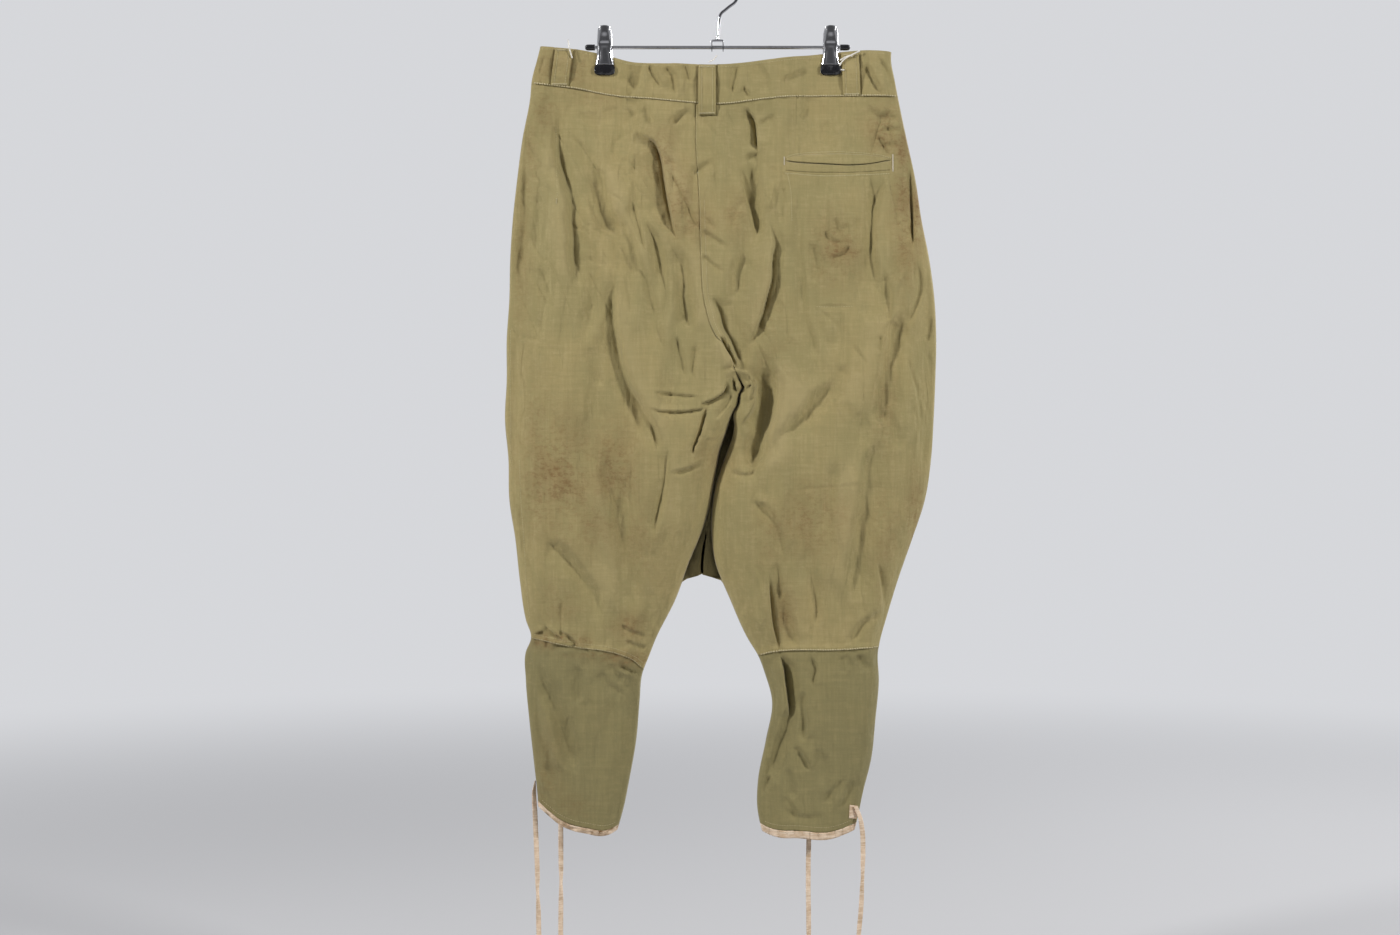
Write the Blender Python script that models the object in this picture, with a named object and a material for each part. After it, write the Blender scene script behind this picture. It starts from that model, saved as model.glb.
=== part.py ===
"""Tropical breeches held by the waistband in a wire clip hanger.

Metres, +Z up.  The origin is the inner top of the hook, where a rail or a nail carries it all.
The back of the garment faces -Y, with its left leg at -X.  Shapes are worked out in millimetres:
x across, and drop, the distance below the axis of the hanger's rod.
"""

import math
from collections import namedtuple

import bmesh
import bpy
import numpy as np

MM = 0.001
OUT = {"back": -1, "front": 1}
SIDE = {-1: "left", 1: "right"}

# Hanger, mm
ROD_DROP = 88.5
ROD_RADIUS = 2.1
ROD_LEFT, ROD_RIGHT = -153.0, 152.0
CAP_LENGTH, CAP_RADIUS = 11.5, 3.5
HOOK_RADIUS, HOOK_WIRE = 24.0, 1.7
BRACKET_WIDTH, BRACKET_DEPTH, BRACKET_PLATE = 14.0, 8.0, 1.1
BRACKET_TOP, BRACKET_FOOT = -8.3, 4.2
BRACKET_X = -0.6
NUT_RADIUS, NUT_HEIGHT = 2.9, 2.3
CLIPS = (-130.3, 129.4)
JAW_WALL = 0.9
JAW_CURL = 2.4
SPRING_RADIUS, SPRING_LENGTH = 4.2, 12.6
TIP_TOP, TIP_FOOT, TIP_THICK = 20.6, 32.2, 3.3

# Cloth, mm
GAP = 0.3
WALL = 1.2
BAND_WALL = 1.5
PATCH_WALL, PATCH_LIFT = 1.0, 0.6
TAPE_PROUD = 0.6
TAPE_WIDTH = 7.5
CROTCH = 391.6
CLOSE_FROM = 325.0
SIDE_ROUND, INNER_ROUND = 0.36, 0.34
LEAST_DEPTH = 3.0
EDGE_FADE = 26.0
CROWDING = 0.6

# How the waistband stands off the middle plane: flat in the clips, and open between them
PINCHED, OPEN_BETWEEN, OPEN_OUTSIDE = 1.65, 11.5, 4.6
PINCH_FLAT, PINCH_REACH = 15.0, 62.0
BAND_ROUND = 14.0
PINCH_FROM, PINCH_GONE = 36.0, 200.0

LOOP_WIDTH, LOOP_WALL, LOOP_FOOT, LOOP_RISE = 20.0, 1.2, 0.6, 4.6
FLY_X = -14.0
PLACKET_WIDTH, PLACKET_FOOT = 36.0, 238.0
BUTTON_RADIUS, BUTTON_THICK = 7.5, 2.6
TIE_WIDTH, TIE_THICK, TIE_STEPS = 5.5, 0.9, 22

Side = namedtuple("Side", "drop left right")
SIDES = (
    Side(-2, -204, 200), Side(14, -208, 199), Side(37, -214, 203), Side(58, -216, 207),
    Side(106, -225, 217), Side(152, -231, 227), Side(198, -236, 234), Side(244, -239, 243),
    Side(290, -240, 249), Side(336, -243, 251), Side(382, -243, 250), Side(428, -245, 248),
    Side(474, -241, 245), Side(520, -240, 238), Side(566, -233, 223), Side(612, -228, 207),
    Side(658, -221, 193), Side(679, -215, 187), Side(695, -221, 184), Side(727, -221, 185),
    Side(773, -217, 181), Side(819, -212, 176), Side(855, -208, 167), Side(888, -205, 160),
    Side(908, -201, 155),
)
Inseam = namedtuple("Inseam", "drop left right")
INSEAMS = (
    Inseam(391.6, 28.6, 28.9), Inseam(405, 33.8, 35), Inseam(434, 23, 24.2), Inseam(451, 13, 14.2),
    Inseam(488, 1.6, 2.8), Inseam(526, -8.2, -7), Inseam(553, -17, -8), Inseam(589, -32, -4),
    Inseam(635, -49, 14), Inseam(681, -72, 35), Inseam(699, -79, 46), Inseam(720, -87, 54),
    Inseam(750, -90, 62), Inseam(796, -94, 55), Inseam(842, -102, 46), Inseam(872, -108, 45),
    Inseam(908, -118, 52),
)
Seam = namedtuple("Seam", "drop back front")
CENTRE_SEAMS = (
    Seam(40, -24, -14), Seam(106, -26, -14), Seam(175, -22, -12), Seam(244, -20, -8),
    Seam(290, -17, -1), Seam(325, -9, 6), Seam(354, 9, 15), Seam(391.6, 28.75, 28.75),
)
Depth = namedtuple("Depth", "drop back front")
DEPTHS = (
    Depth(0, 14, 13), Depth(100, 17, 15), Depth(200, 23, 20), Depth(300, 27, 23),
    Depth(400, 30, 25), Depth(500, 31, 26), Depth(570, 29, 24), Depth(630, 24, 20),
    Depth(690, 18, 15), Depth(740, 18, 15), Depth(820, 16, 14), Depth(910, 13, 12),
)
Band = namedtuple("Band", "x top seam")
BAND = (
    Band(-212, -2, 43), Band(-187, 1, 46), Band(-160, 3, 49), Band(-130, 9, 55),
    Band(-92, 19, 60), Band(-44, 21, 65), Band(0, 22, 68), Band(54, 17, 62), Band(94, 11, 58),
    Band(129, 7, 57), Band(165, 4, 57), Band(206, 6, 58),
)
Line = namedtuple("Line", "share left right")
KNEES = (
    Line(0, 715, 699), Line(0.15, 702, 694), Line(0.3, 695, 692), Line(0.6, 689, 692),
    Line(1, 679, 689),
)
HEMS = (
    Line(0, 899, 900), Line(0.08, 903, 904), Line(0.4, 902, 907), Line(0.75, 891, 908),
    Line(1, 872, 899),
)

# A fold runs down its path.  Its depth is below zero for a trough, and a ridge of the given
# share stands to its right, or to its left where the share is below zero.
Fold = namedtuple("Fold", "path width depth ridge")
BACK_FOLDS = (
    Fold(((-182, 70), (-175, 152), (-166, 221), (-159, 290)), 13, -5, 0.3),
    Fold(((-99, 98), (-72, 118), (-60, 164), (-46, 245)), 10, -7, 0.5),
    Fold(((-153, 193), (-145, 256), (-156, 348)), 13, -3, 0),
    Fold(((-115, 250), (-121, 319), (-95, 405), (-72, 480)), 12, -5, 0.3),
    Fold(((-101, 220), (-72, 313), (-55, 380)), 10, -4, 0.4),
    Fold(((-57, 215), (-41, 262), (-36, 340)), 11, -4, -0.3),
    Fold(((-50, 430), (-63, 509), (-76, 575)), 11, -5, 0.6),
    Fold(((-130, 455), (-115, 532), (-98, 665)), 12, -5, -0.3),
    Fold(((-200, 560), (-153, 612), (-127, 668)), 11, -4, 0.3),
    Fold(((26, 64), (44, 96), (46, 130)), 9, -4, -0.4),
    Fold(((24, 130), (33, 170), (48, 235)), 10, -6, 0.5),
    Fold(((60, 195), (64, 242), (54, 296), (32, 352)), 11, -7, 0.4),
    Fold(((220, 125), (223, 195), (221, 250)), 9, -3, 0),
    Fold(((193, 146), (174, 200), (177, 262), (184, 300)), 9, -4, 0.5),
    Fold(((94, 155), (93, 244), (104, 335), (110, 380)), 9, -3, 0),
    Fold(((46, 355), (63, 394), (58, 425), (38, 485)), 13, -12, 0.3),
    Fold(((92, 415), (71, 446), (42, 488)), 10, -6, -0.5),
    Fold(((211, 290), (198, 342), (182, 425)), 13, -6, -0.5),
    Fold(((175, 455), (164, 515), (154, 575), (161, 632)), 14, -5, 0.2),
    Fold(((30, 512), (62, 543), (77, 592)), 11, -4, 0.3),
    Fold(((60, 590), (62, 645), (74, 700)), 10, -8, -0.4),
    Fold(((2, 328), (9, 350), (22, 372)), 8, -6, -0.4),
)
FRONT_FOLDS = (
    Fold(((-170, 75), (-160, 160), (-150, 280)), 13, -5, 0.3),
    Fold(((-70, 90), (-64, 160), (-84, 270)), 12, -5, -0.4),
    Fold(((-105, 300), (-122, 390), (-96, 500)), 13, -5, 0.3),
    Fold(((-40, 390), (-66, 470), (-80, 590)), 13, -7, 0.4),
    Fold(((-190, 500), (-160, 580), (-132, 660)), 13, -4, 0.3),
    Fold(((70, 85), (80, 180), (64, 290)), 12, -5, 0.4),
    Fold(((160, 70), (172, 170), (150, 300)), 13, -5, -0.3),
    Fold(((60, 350), (84, 430), (70, 520)), 13, -7, -0.4),
    Fold(((190, 320), (168, 430), (160, 560)), 14, -5, -0.3),
    Fold(((60, 570), (80, 630), (104, 690)), 12, -5, 0.4),
)
BACK_LEG_FOLDS = (
    Fold(((-212, 695), (-187, 750), (-160, 840)), 10, -4, 0.5),
    Fold(((-135, 700), (-115, 741), (-96, 760)), 9, -4, -0.3),
    Fold(((76, 680), (80, 735), (78, 790), (55, 850)), 10, -8, -0.5),
    Fold(((111, 690), (109, 735), (97, 800)), 9, -3, 0.3),
    Fold(((60, 860), (94, 884), (132, 862)), 9, -2, 0),
)
FRONT_LEG_FOLDS = (
    Fold(((-205, 700), (-180, 770), (-170, 860)), 11, -4, 0.3),
    Fold(((-110, 700), (-128, 770), (-122, 860)), 11, -4, -0.3),
    Fold(((150, 700), (132, 780), (120, 870)), 11, -4, 0.4),
    Fold(((84, 710), (92, 780), (80, 860)), 10, -4, 0.3),
)
FOLDS = {
    "back": BACK_FOLDS, "front": FRONT_FOLDS,
    "back leg": BACK_LEG_FOLDS, "front leg": FRONT_LEG_FOLDS,
}

# Free ribbons: y is the way out of the middle plane, and turn the ribbon's twist in degrees
Tie = namedtuple("Tie", "drop x y turn")
TIES = {
    "tie_left_outer": (
        Tie(843, -210.3, -0.4, 84), Tie(858, -211.4, -0.5, 40), Tie(880, -210.5, 0, 15),
        Tie(905, -209.4, 0, 8), Tie(950, -207.7, 0, 20), Tie(972, -207.3, 0, 62),
        Tie(995, -206.6, 0, 20), Tie(1060, -205.2, 0, 8), Tie(1130, -204.6, 0, 12),
    ),
    "tie_left_inner": (
        Tie(868, -181.6, 9.0, 4), Tie(900, -181.4, 8.6, 6), Tie(940, -181.2, 8.4, 16),
        Tie(962, -181, 8.2, 58), Tie(985, -181.2, 8, 18), Tie(1050, -181.6, 7.6, 6),
        Tie(1145, -182, 7.2, 10),
    ),
    "tie_right_outer": (
        Tie(871, 157.4, -10.3, 25), Tie(884, 162.6, -9, 30), Tie(900, 165.4, -7.2, 14),
        Tie(925, 166.2, -6, 6), Tie(950, 165.8, -5.4, 44), Tie(985, 164.3, -5, 12),
        Tie(1020, 161.4, -4.8, 24), Tie(1070, 160.2, -4.6, 8), Tie(1126, 160.8, -4.4, 14),
    ),
    "tie_right_inner": (
        Tie(868, 105.4, 9.2, 4), Tie(905, 105, 8.8, 6), Tie(950, 104.2, 8.6, 10),
        Tie(1000, 104.6, 8.4, 14), Tie(1060, 105, 8.2, 34), Tie(1140, 104.4, 8, 12),
    ),
}

Jaw = namedtuple("Jaw", "drop half off")
JAW = (
    Jaw(-23.6, 3.2, 8.6), Jaw(-22.4, 5.6, 8.5), Jaw(-19.5, 7.3, 8.1), Jaw(-14, 8, 7.2),
    Jaw(-6, 8.4, 6), Jaw(0, 8.6, 5.3), Jaw(8, 8.9, 4.8), Jaw(15, 10, 4.5), Jaw(20.3, 11.2, 4.4),
)
Lip = namedtuple("Lip", "share top mouth foot")
POCKET_LEFT, POCKET_RIGHT = 77.0, 198.0
POCKET = (
    Lip(0, 129, 133, 144), Lip(0.08, 125.5, 134, 145), Lip(0.35, 124, 135, 146),
    Lip(0.62, 124.5, 137, 146), Lip(0.8, 125.5, 135.4, 145), Lip(1, 128, 131, 143),
)
LIP_SPLIT = 0.8

OLIVE = (0.30, 0.26, 0.115)
DARK_OLIVE = (0.22, 0.195, 0.09)
TAPE = (0.45, 0.34, 0.22)
STEEL = (0.62, 0.62, 0.64)
BLACK = (0.015, 0.015, 0.017)
HORN = (0.12, 0.08, 0.045)


def clear_scene():
    for old in list(bpy.data.objects):
        bpy.data.objects.remove(old)


def finish_named(name, colour, roughness, metallic=0.0):
    finish = bpy.data.materials.new(name)
    finish.use_nodes = True
    shader = finish.node_tree.nodes["Principled BSDF"]
    shader.inputs["Base Color"].default_value = (*colour, 1)
    shader.inputs["Roughness"].default_value = roughness
    shader.inputs["Metallic"].default_value = metallic
    return finish


# ---- curves and tables ----


def curve(table, key, value, at):
    """Smooth curve through one column of a table, read at the given places."""
    places = np.array([getattr(row, key) for row in table], float)
    heights = np.array([getattr(row, value) for row in table], float)
    slopes = np.gradient(heights, places)
    at = np.clip(at, places[0], places[-1])
    row = np.clip(np.searchsorted(places, at, side="right") - 1, 0, len(places) - 2)
    width = places[row + 1] - places[row]
    part = (at - places[row]) / width
    rest = 1 - part
    return (
        heights[row] * (1 + 2 * part) * rest**2
        + slopes[row] * width * part * rest**2
        + heights[row + 1] * part**2 * (3 - 2 * part)
        - slopes[row + 1] * width * part**2 * rest
    )


def mix(first, second, share):
    return first + (second - first) * share


def smooth(low, high, at):
    part = np.clip((at - low) / (high - low), 0, 1)
    return part * part * (3 - 2 * part)


def rounded(share):
    """Quarter ellipse: 0 at an edge and 1 from a share of 1 on."""
    return np.sqrt(1 - (1 - np.clip(share, 0, 1)) ** 2)


def spread(count):
    """Shares from 0 to 1, closer together at both ends, where the cloth turns round."""
    even = np.linspace(0, 1, count + 1)
    return mix(even, (1 - np.cos(np.pi * even)) / 2, CROWDING)


# ---- the form of the cloth ----


def from_path(path, x, drop):
    """Signed distance from a smooth path, and the share of its length at the nearest point."""
    points = np.array(path, float)
    Point = namedtuple("Point", "step x drop")
    rows = [Point(step, *point) for step, point in enumerate(points)]
    steps = np.linspace(0, len(rows) - 1, 5 * (len(rows) - 1) + 1)
    xs, drops = curve(rows, "step", "x", steps), curve(rows, "step", "drop", steps)
    nearest = np.full(np.shape(x), np.inf)
    signed, along = np.zeros(np.shape(x)), np.zeros(np.shape(x))
    for index in range(len(steps) - 1):
        run, fall = xs[index + 1] - xs[index], drops[index + 1] - drops[index]
        part = ((x - xs[index]) * run + (drop - drops[index]) * fall) / (run**2 + fall**2)
        part = np.clip(part, 0, 1)
        across_x, across_drop = x - xs[index] - part * run, drop - drops[index] - part * fall
        far = np.hypot(across_x, across_drop)
        closer = far < nearest
        nearest = np.where(closer, far, nearest)
        side = np.sign(across_x * fall - across_drop * run)
        signed = np.where(closer, side * far, signed)
        along = np.where(closer, (index + part) / (len(steps) - 1), along)
    return signed, along


def fold_height(folds, x, drop):
    total = np.zeros(np.shape(x))
    for fold in folds:
        off, along = from_path(fold.path, x, drop)
        fade = smooth(0, 0.25, along) * smooth(1, 0.75, along)
        trough = np.exp(-((off / fold.width) ** 2))
        beside = 1.7 * fold.width * math.copysign(1, fold.ridge)
        ridge = np.exp(-(((off - beside) / (1.1 * fold.width)) ** 2))
        total += fold.depth * fade * (trough - abs(fold.ridge) * ridge)
    return total


def band_depth(x, drop):
    """Half the waistband's thickness, with its two layers pinched together in the clips."""
    left, right = curve(SIDES, "drop", "left", drop), curve(SIDES, "drop", "right", drop)
    from_clip = np.minimum(abs(x - CLIPS[0]), abs(x - CLIPS[1]))
    outside = (x < CLIPS[0]) | (x > CLIPS[1])
    opening = np.where(outside, OPEN_OUTSIDE, OPEN_BETWEEN)
    depth = PINCHED + opening * smooth(PINCH_FLAT, PINCH_REACH, from_clip)
    return depth * rounded((x - left) / BAND_ROUND) * rounded((right - x) / BAND_ROUND)


def edges(side, layer, drop):
    """x of the seam or inseam, and of the side edge."""
    seam = curve(CENTRE_SEAMS, "drop", layer, drop) + side * GAP / 2
    inseam = curve(INSEAMS, "drop", SIDE[side], drop)
    return np.where(drop < CROTCH, seam, inseam), curve(SIDES, "drop", SIDE[side], drop)


def body_depth(side, layer, x, drop, folds):
    """How far the cloth of a leg or a seat half stands off the middle plane."""
    start, end = edges(side, layer, drop)
    width = abs(end - start)
    share = np.clip((x - start) / (end - start), 0, 1)
    closing = np.clip((drop - CLOSE_FROM) / (CROTCH - CLOSE_FROM), 0, 1) ** 2
    inner = 1 - closing * (1 - rounded(share / INNER_ROUND))
    body = curve(DEPTHS, "drop", layer, drop) * rounded((1 - share) / SIDE_ROUND) * inner
    body = mix(band_depth(x, drop), body, smooth(PINCH_FROM, PINCH_GONE, drop))
    fade = np.clip((1 - share) * width / EDGE_FADE, 0, 1)
    fade = fade * (1 - closing * (1 - np.clip(share * width / EDGE_FADE, 0, 1)))
    fade = fade * smooth(0, 30, drop - curve(BAND, "x", "seam", x))
    folded = body + fade * fold_height(FOLDS[folds], x, drop)
    return np.maximum(folded, np.minimum(body, LEAST_DEPTH))


def points_at(layer, x, depth, drop):
    y = OUT[layer] * np.maximum(depth, GAP / 2)
    return np.stack(np.broadcast_arrays(x, y, -(ROD_DROP + drop)), axis=-1)


def outward(points, layer):
    """Unit normals of a grid of points, on the side that the layer faces."""
    normal = np.cross(np.gradient(points, axis=1), np.gradient(points, axis=0))
    normal /= np.linalg.norm(normal, axis=-1, keepdims=True)
    return normal * np.sign(np.sum(normal[..., 1])) * OUT[layer]


def unit(vectors):
    return vectors / np.maximum(np.linalg.norm(vectors, axis=-1, keepdims=True), 1e-9)


# ---- making solids ----


def add_object(name, shape, finish, smooth_angle=50):
    mesh = bpy.data.meshes.new(name)
    bmesh.ops.scale(shape, verts=shape.verts, vec=(MM, MM, MM))
    shape.normal_update()
    bmesh.ops.recalc_face_normals(shape, faces=shape.faces[:])
    shape.to_mesh(mesh)
    shape.free()
    mesh.materials.append(finish)
    mesh.shade_smooth()
    mesh.set_sharp_from_angle(angle=math.radians(smooth_angle))
    made = bpy.data.objects.new(name, mesh)
    bpy.context.scene.collection.objects.link(made)
    return made


def wall_between(name, outer, inner, finish):
    """One closed wall whose two skins are grids of points."""
    rows, columns = outer.shape[0] - 1, outer.shape[1] - 1
    shape = bmesh.new()
    bmesh.ops.create_grid(shape, x_segments=columns, y_segments=rows, size=0.5)
    skin = list(shape.verts)
    made = bmesh.ops.extrude_face_region(shape, geom=shape.faces[:], use_keep_orig=True)
    lining = [item for item in made["geom"] if isinstance(item, bmesh.types.BMVert)]
    for points, verts in ((outer, skin), (inner, lining)):
        for vert in verts:
            column = round((vert.co.x + 0.5) * columns)
            row = round((0.5 - vert.co.y) * rows)
            vert.co = points[row, column]
    return add_object(name, shape, finish)


def cloth_wall(name, layer, points, wall, finish, first, last):
    """A panel: its outer skin, and an inner skin a wall's thickness in.

    first and last say which way the cloth faces at its first and last column: along X, as at a
    fold round the side, or None where the panel only ends.  The top and foot are cut straight
    through along Y, so that the pieces above and below meet them squarely.
    """
    normal = outward(points, layer)
    normal[(0, -1), :, 2] = 0
    for column, facing in ((0, first), (-1, last)):
        if facing is not None:
            turned = facing(points[:, column])
            normal[:, column] = np.where(turned == 0, normal[:, column], turned)
    inner = points - wall * unit(normal)
    inner[..., 1] = OUT[layer] * np.maximum(OUT[layer] * inner[..., 1], GAP / 2)
    for row in (0, -1):
        order = np.argsort(points[row, :, 0])
        cut_x, cut_z = points[row, order, 0], points[row, order, 2]
        inner[row, :, 2] = np.interp(inner[row, :, 0], cut_x, cut_z)
    return wall_between(name, points, inner, finish)


def all_along(sign):
    return lambda points: np.tile((sign, 0, 1e-9), (len(points), 1))


def below_crotch(side):
    """The inner edge faces the other leg below the crotch, and ends at the seam above it."""

    def facing(points):
        below = points[:, 2] < -(ROD_DROP + CROTCH) + 1e-6
        turned = np.zeros((len(points), 3))
        turned[below] = (-side, 0, 1e-9)
        return turned

    return facing


def patch_wall(name, layer, points, lift, wall, finish):
    """A piece that lies on the cloth: the cloth's own points, moved out."""
    normal = outward(points, layer)
    return wall_between(name, points + (lift + wall) * normal, points + lift * normal, finish)


def cylinder_x(name, low, high, radius, finish, segments=16, drop=0.0, y=0.0):
    shape = bmesh.new()
    bmesh.ops.create_cone(
        shape, segments=segments, radius1=radius, radius2=radius, depth=high - low, cap_ends=True
    )
    for vert in shape.verts:
        vert.co = (vert.co.z + (low + high) / 2, y + vert.co.x, vert.co.y - ROD_DROP - drop)
    return add_object(name, shape, finish)


# ---- garment ----


def thigh_panel(name, side, layer, columns, rows, finish):
    """Seat and thigh in one piece, from the waistband's seam to the knee."""
    share, level = np.meshgrid(spread(columns), np.linspace(0, 2, 2 * rows + 1))
    top = np.full(share.shape, 58.0)
    for _ in range(3):
        start, end = edges(side, layer, top)
        top = curve(BAND, "x", "seam", mix(start, end, share)) + GAP / 2
    knee = curve(KNEES, "share", SIDE[side], share) - GAP / 2
    drop = np.where(level < 1, mix(top, CROTCH, level), mix(CROTCH, knee, level - 1))
    start, end = edges(side, layer, drop)
    x = mix(start, end, share)
    points = points_at(layer, x, body_depth(side, layer, x, drop, layer), drop)
    cloth_wall(name, layer, points, WALL, finish, below_crotch(side), all_along(side))


def leg_points(side, layer, share, drop):
    start, end = edges(side, layer, drop)
    x = mix(start, end, share)
    return points_at(layer, x, body_depth(side, layer, x, drop, layer + " leg"), drop)


def lower_leg(name, side, layer, columns, rows, finish, tape_finish):
    """From the knee seam down to the hem, and the tape that binds its edge."""
    share, level = np.meshgrid(spread(columns), np.linspace(0, 1, rows + 1))
    knee = curve(KNEES, "share", SIDE[side], share) + GAP / 2
    hem = curve(HEMS, "share", SIDE[side], share)
    points = leg_points(side, layer, share, mix(knee, hem - TAPE_WIDTH - GAP, level))
    cloth_wall(name, layer, points, WALL, finish, all_along(-side), all_along(side))
    share, low, level = share[:2], hem[:2], level[:2] * rows
    points = leg_points(side, layer, share, mix(low - TAPE_WIDTH, low, level))
    points[..., 1] += OUT[layer] * TAPE_PROUD * rounded(share * 8) * rounded((1 - share) * 8)
    tape = name.replace("lower", "hem_tape")
    thick = WALL + 2 * TAPE_PROUD
    cloth_wall(tape, layer, points, thick, tape_finish, all_along(-side), all_along(side))


def waistband(name, layer, low, high, columns, finish):
    """A stretch of the waistband between two places on X; None stands for its side edge."""
    share, level = np.meshgrid(np.linspace(0, 1, columns + 1), np.linspace(0, 1, 3))
    drop = np.full(share.shape, 30.0)
    for _ in range(3):
        left = curve(SIDES, "drop", "left", drop) if low is None else low
        right = curve(SIDES, "drop", "right", drop) if high is None else high
        along = mix(share, (1 - np.cos(np.pi * share)) / 2, 0.35)
        x = mix(left, right, along)
        drop = mix(curve(BAND, "x", "top", x), curve(BAND, "x", "seam", x) - GAP / 2, level)
    points = points_at(layer, x, band_depth(x, drop), drop)
    first = all_along(-1) if low is None else None
    last = all_along(1) if high is None else None
    cloth_wall(name, layer, points, BAND_WALL, finish, first, last)


def belt_loop(name, layer, top_x, foot_x, top, foot, finish, side=0):
    """A strap across the waistband that stands off it between its two sewn ends."""
    share, level = np.meshgrid(np.linspace(-0.5, 0.5, 4), np.linspace(0, 1, 9))
    x = mix(top_x, foot_x, level) + share * LOOP_WIDTH
    drop = mix(top, foot, level)
    depth = band_depth(x, drop)
    if side:
        on_panel = drop > curve(BAND, "x", "seam", x)
        depth = np.where(on_panel, body_depth(side, layer, x, drop, layer), depth)
    depth = depth.max(axis=1, keepdims=True) + LOOP_FOOT
    depth = depth + LOOP_RISE * smooth(0.06, 0.3, level) * smooth(0.94, 0.7, level)
    inner = points_at(layer, x, depth, drop)
    outer = points_at(layer, x, depth + LOOP_WALL, drop)
    wall_between(name, outer, inner, finish)


def welt_pocket(finish):
    """Two strips over the pocket's mouth on the right seat: a lip above and a welt below."""
    share, level = np.meshgrid(np.linspace(0, 1, 17), np.linspace(0, 1, 3))
    x = mix(POCKET_LEFT, POCKET_RIGHT, share)
    top, mouth, foot = (curve(POCKET, "share", line, share) for line in ("top", "mouth", "foot"))
    for name, high, low in (("pocket_lip", top, mouth - LIP_SPLIT / 2),
                            ("pocket_welt", mouth + LIP_SPLIT / 2, foot)):
        drop = mix(high, low, level)
        points = points_at("back", x, body_depth(1, "back", x, drop, "back"), drop)
        patch_wall(name, "back", points, PATCH_LIFT, PATCH_WALL, finish)


def fly(cloth, horn):
    """The plain placket beside the fly, and the button that closes the waistband over it."""
    share, level = np.meshgrid(np.linspace(0, 1, 5), np.linspace(0, 1, 13))
    foot = PLACKET_FOOT - 26 * share**3
    drop = mix(71, foot, level)
    start, _ = edges(1, "front", drop)
    x = start + 1 + share * PLACKET_WIDTH
    points = points_at("front", x, body_depth(1, "front", x, drop, "front"), drop)
    patch_wall("fly_placket", "front", points, PATCH_LIFT, PATCH_WALL, cloth)
    shape = bmesh.new()
    bmesh.ops.create_cone(
        shape, segments=24, radius1=BUTTON_RADIUS, radius2=BUTTON_RADIUS * 0.86,
        depth=BUTTON_THICK, cap_ends=True,
    )
    x, drop = FLY_X + 16, 44
    y = float(band_depth(np.array(x), np.array(drop))) + 0.4 + BUTTON_THICK / 2
    for vert in shape.verts:
        vert.co = (x + vert.co.x, y + vert.co.z, -ROD_DROP - drop + vert.co.y)
    add_object("waist_button", shape, horn)


def tie_tab(finish):
    """The folded patch that sews the outer tie to the right leg."""
    share, level = np.meshgrid(np.linspace(0, 1, 5), np.linspace(0, 1, 5))
    x = mix(150.5, 159.5, share) - 0.8 * level
    drop = mix(869, 884.5, level) + 1.5 * share
    points = points_at("back", x, body_depth(1, "back", x, drop, "back leg"), drop)
    patch_wall("tie_tab", "back", points, PATCH_LIFT, PATCH_WALL, finish)


def tie(name, route, finish):
    """A flat ribbon that hangs along its route and turns a little on the way."""
    drop = np.linspace(route[0].drop, route[-1].drop, TIE_STEPS + 1)
    x, y, turn = (curve(route, "drop", key, drop) for key in ("x", "y", "turn"))
    turn = np.radians(turn)
    middle = np.stack([x, y, -(ROD_DROP + drop)], axis=-1)
    wide = np.stack([np.cos(turn), np.sin(turn), np.zeros(len(turn))], axis=-1)
    thick = np.stack([np.sin(turn), -np.cos(turn), np.zeros(len(turn))], axis=-1)
    half = TIE_WIDTH / 2
    pair = np.stack([middle - half * wide, middle + half * wide], axis=1)
    off = TIE_THICK / 2 * thick[:, None]
    wall_between(name, pair + off, pair - off, finish)


# ---- hanger ----


def hook(finish):
    """Wire from the nut up into a round hook that opens towards the left."""
    centre = HOOK_WIRE - HOOK_RADIUS
    stem = [
        (-0.4, BRACKET_TOP - GAP - NUT_HEIGHT - GAP), (0.2, -19), (1.2, -30), (2.2, -36.4),
        (4.6, -40.2), (8.4, -43.2), (13.2, -47.2),
    ]
    route = [(x, -ROD_DROP - drop) for x, drop in stem]
    for degrees in range(-38, 196, 13):
        angle = math.radians(degrees)
        route.append((HOOK_RADIUS * math.cos(angle), centre + HOOK_RADIUS * math.sin(angle)))
    wire = bpy.data.curves.new("hook", "CURVE")
    wire.dimensions = "3D"
    wire.bevel_depth = HOOK_WIRE * MM
    wire.bevel_resolution = 2
    wire.use_fill_caps = True
    spline = wire.splines.new("POLY")
    spline.points.add(len(route) - 1)
    for point, (x, z) in zip(spline.points, route):
        point.co = (x * MM, 0, z * MM, 1)
    wire.materials.append(finish)
    bpy.context.scene.collection.objects.link(bpy.data.objects.new("hook", wire))


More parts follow.
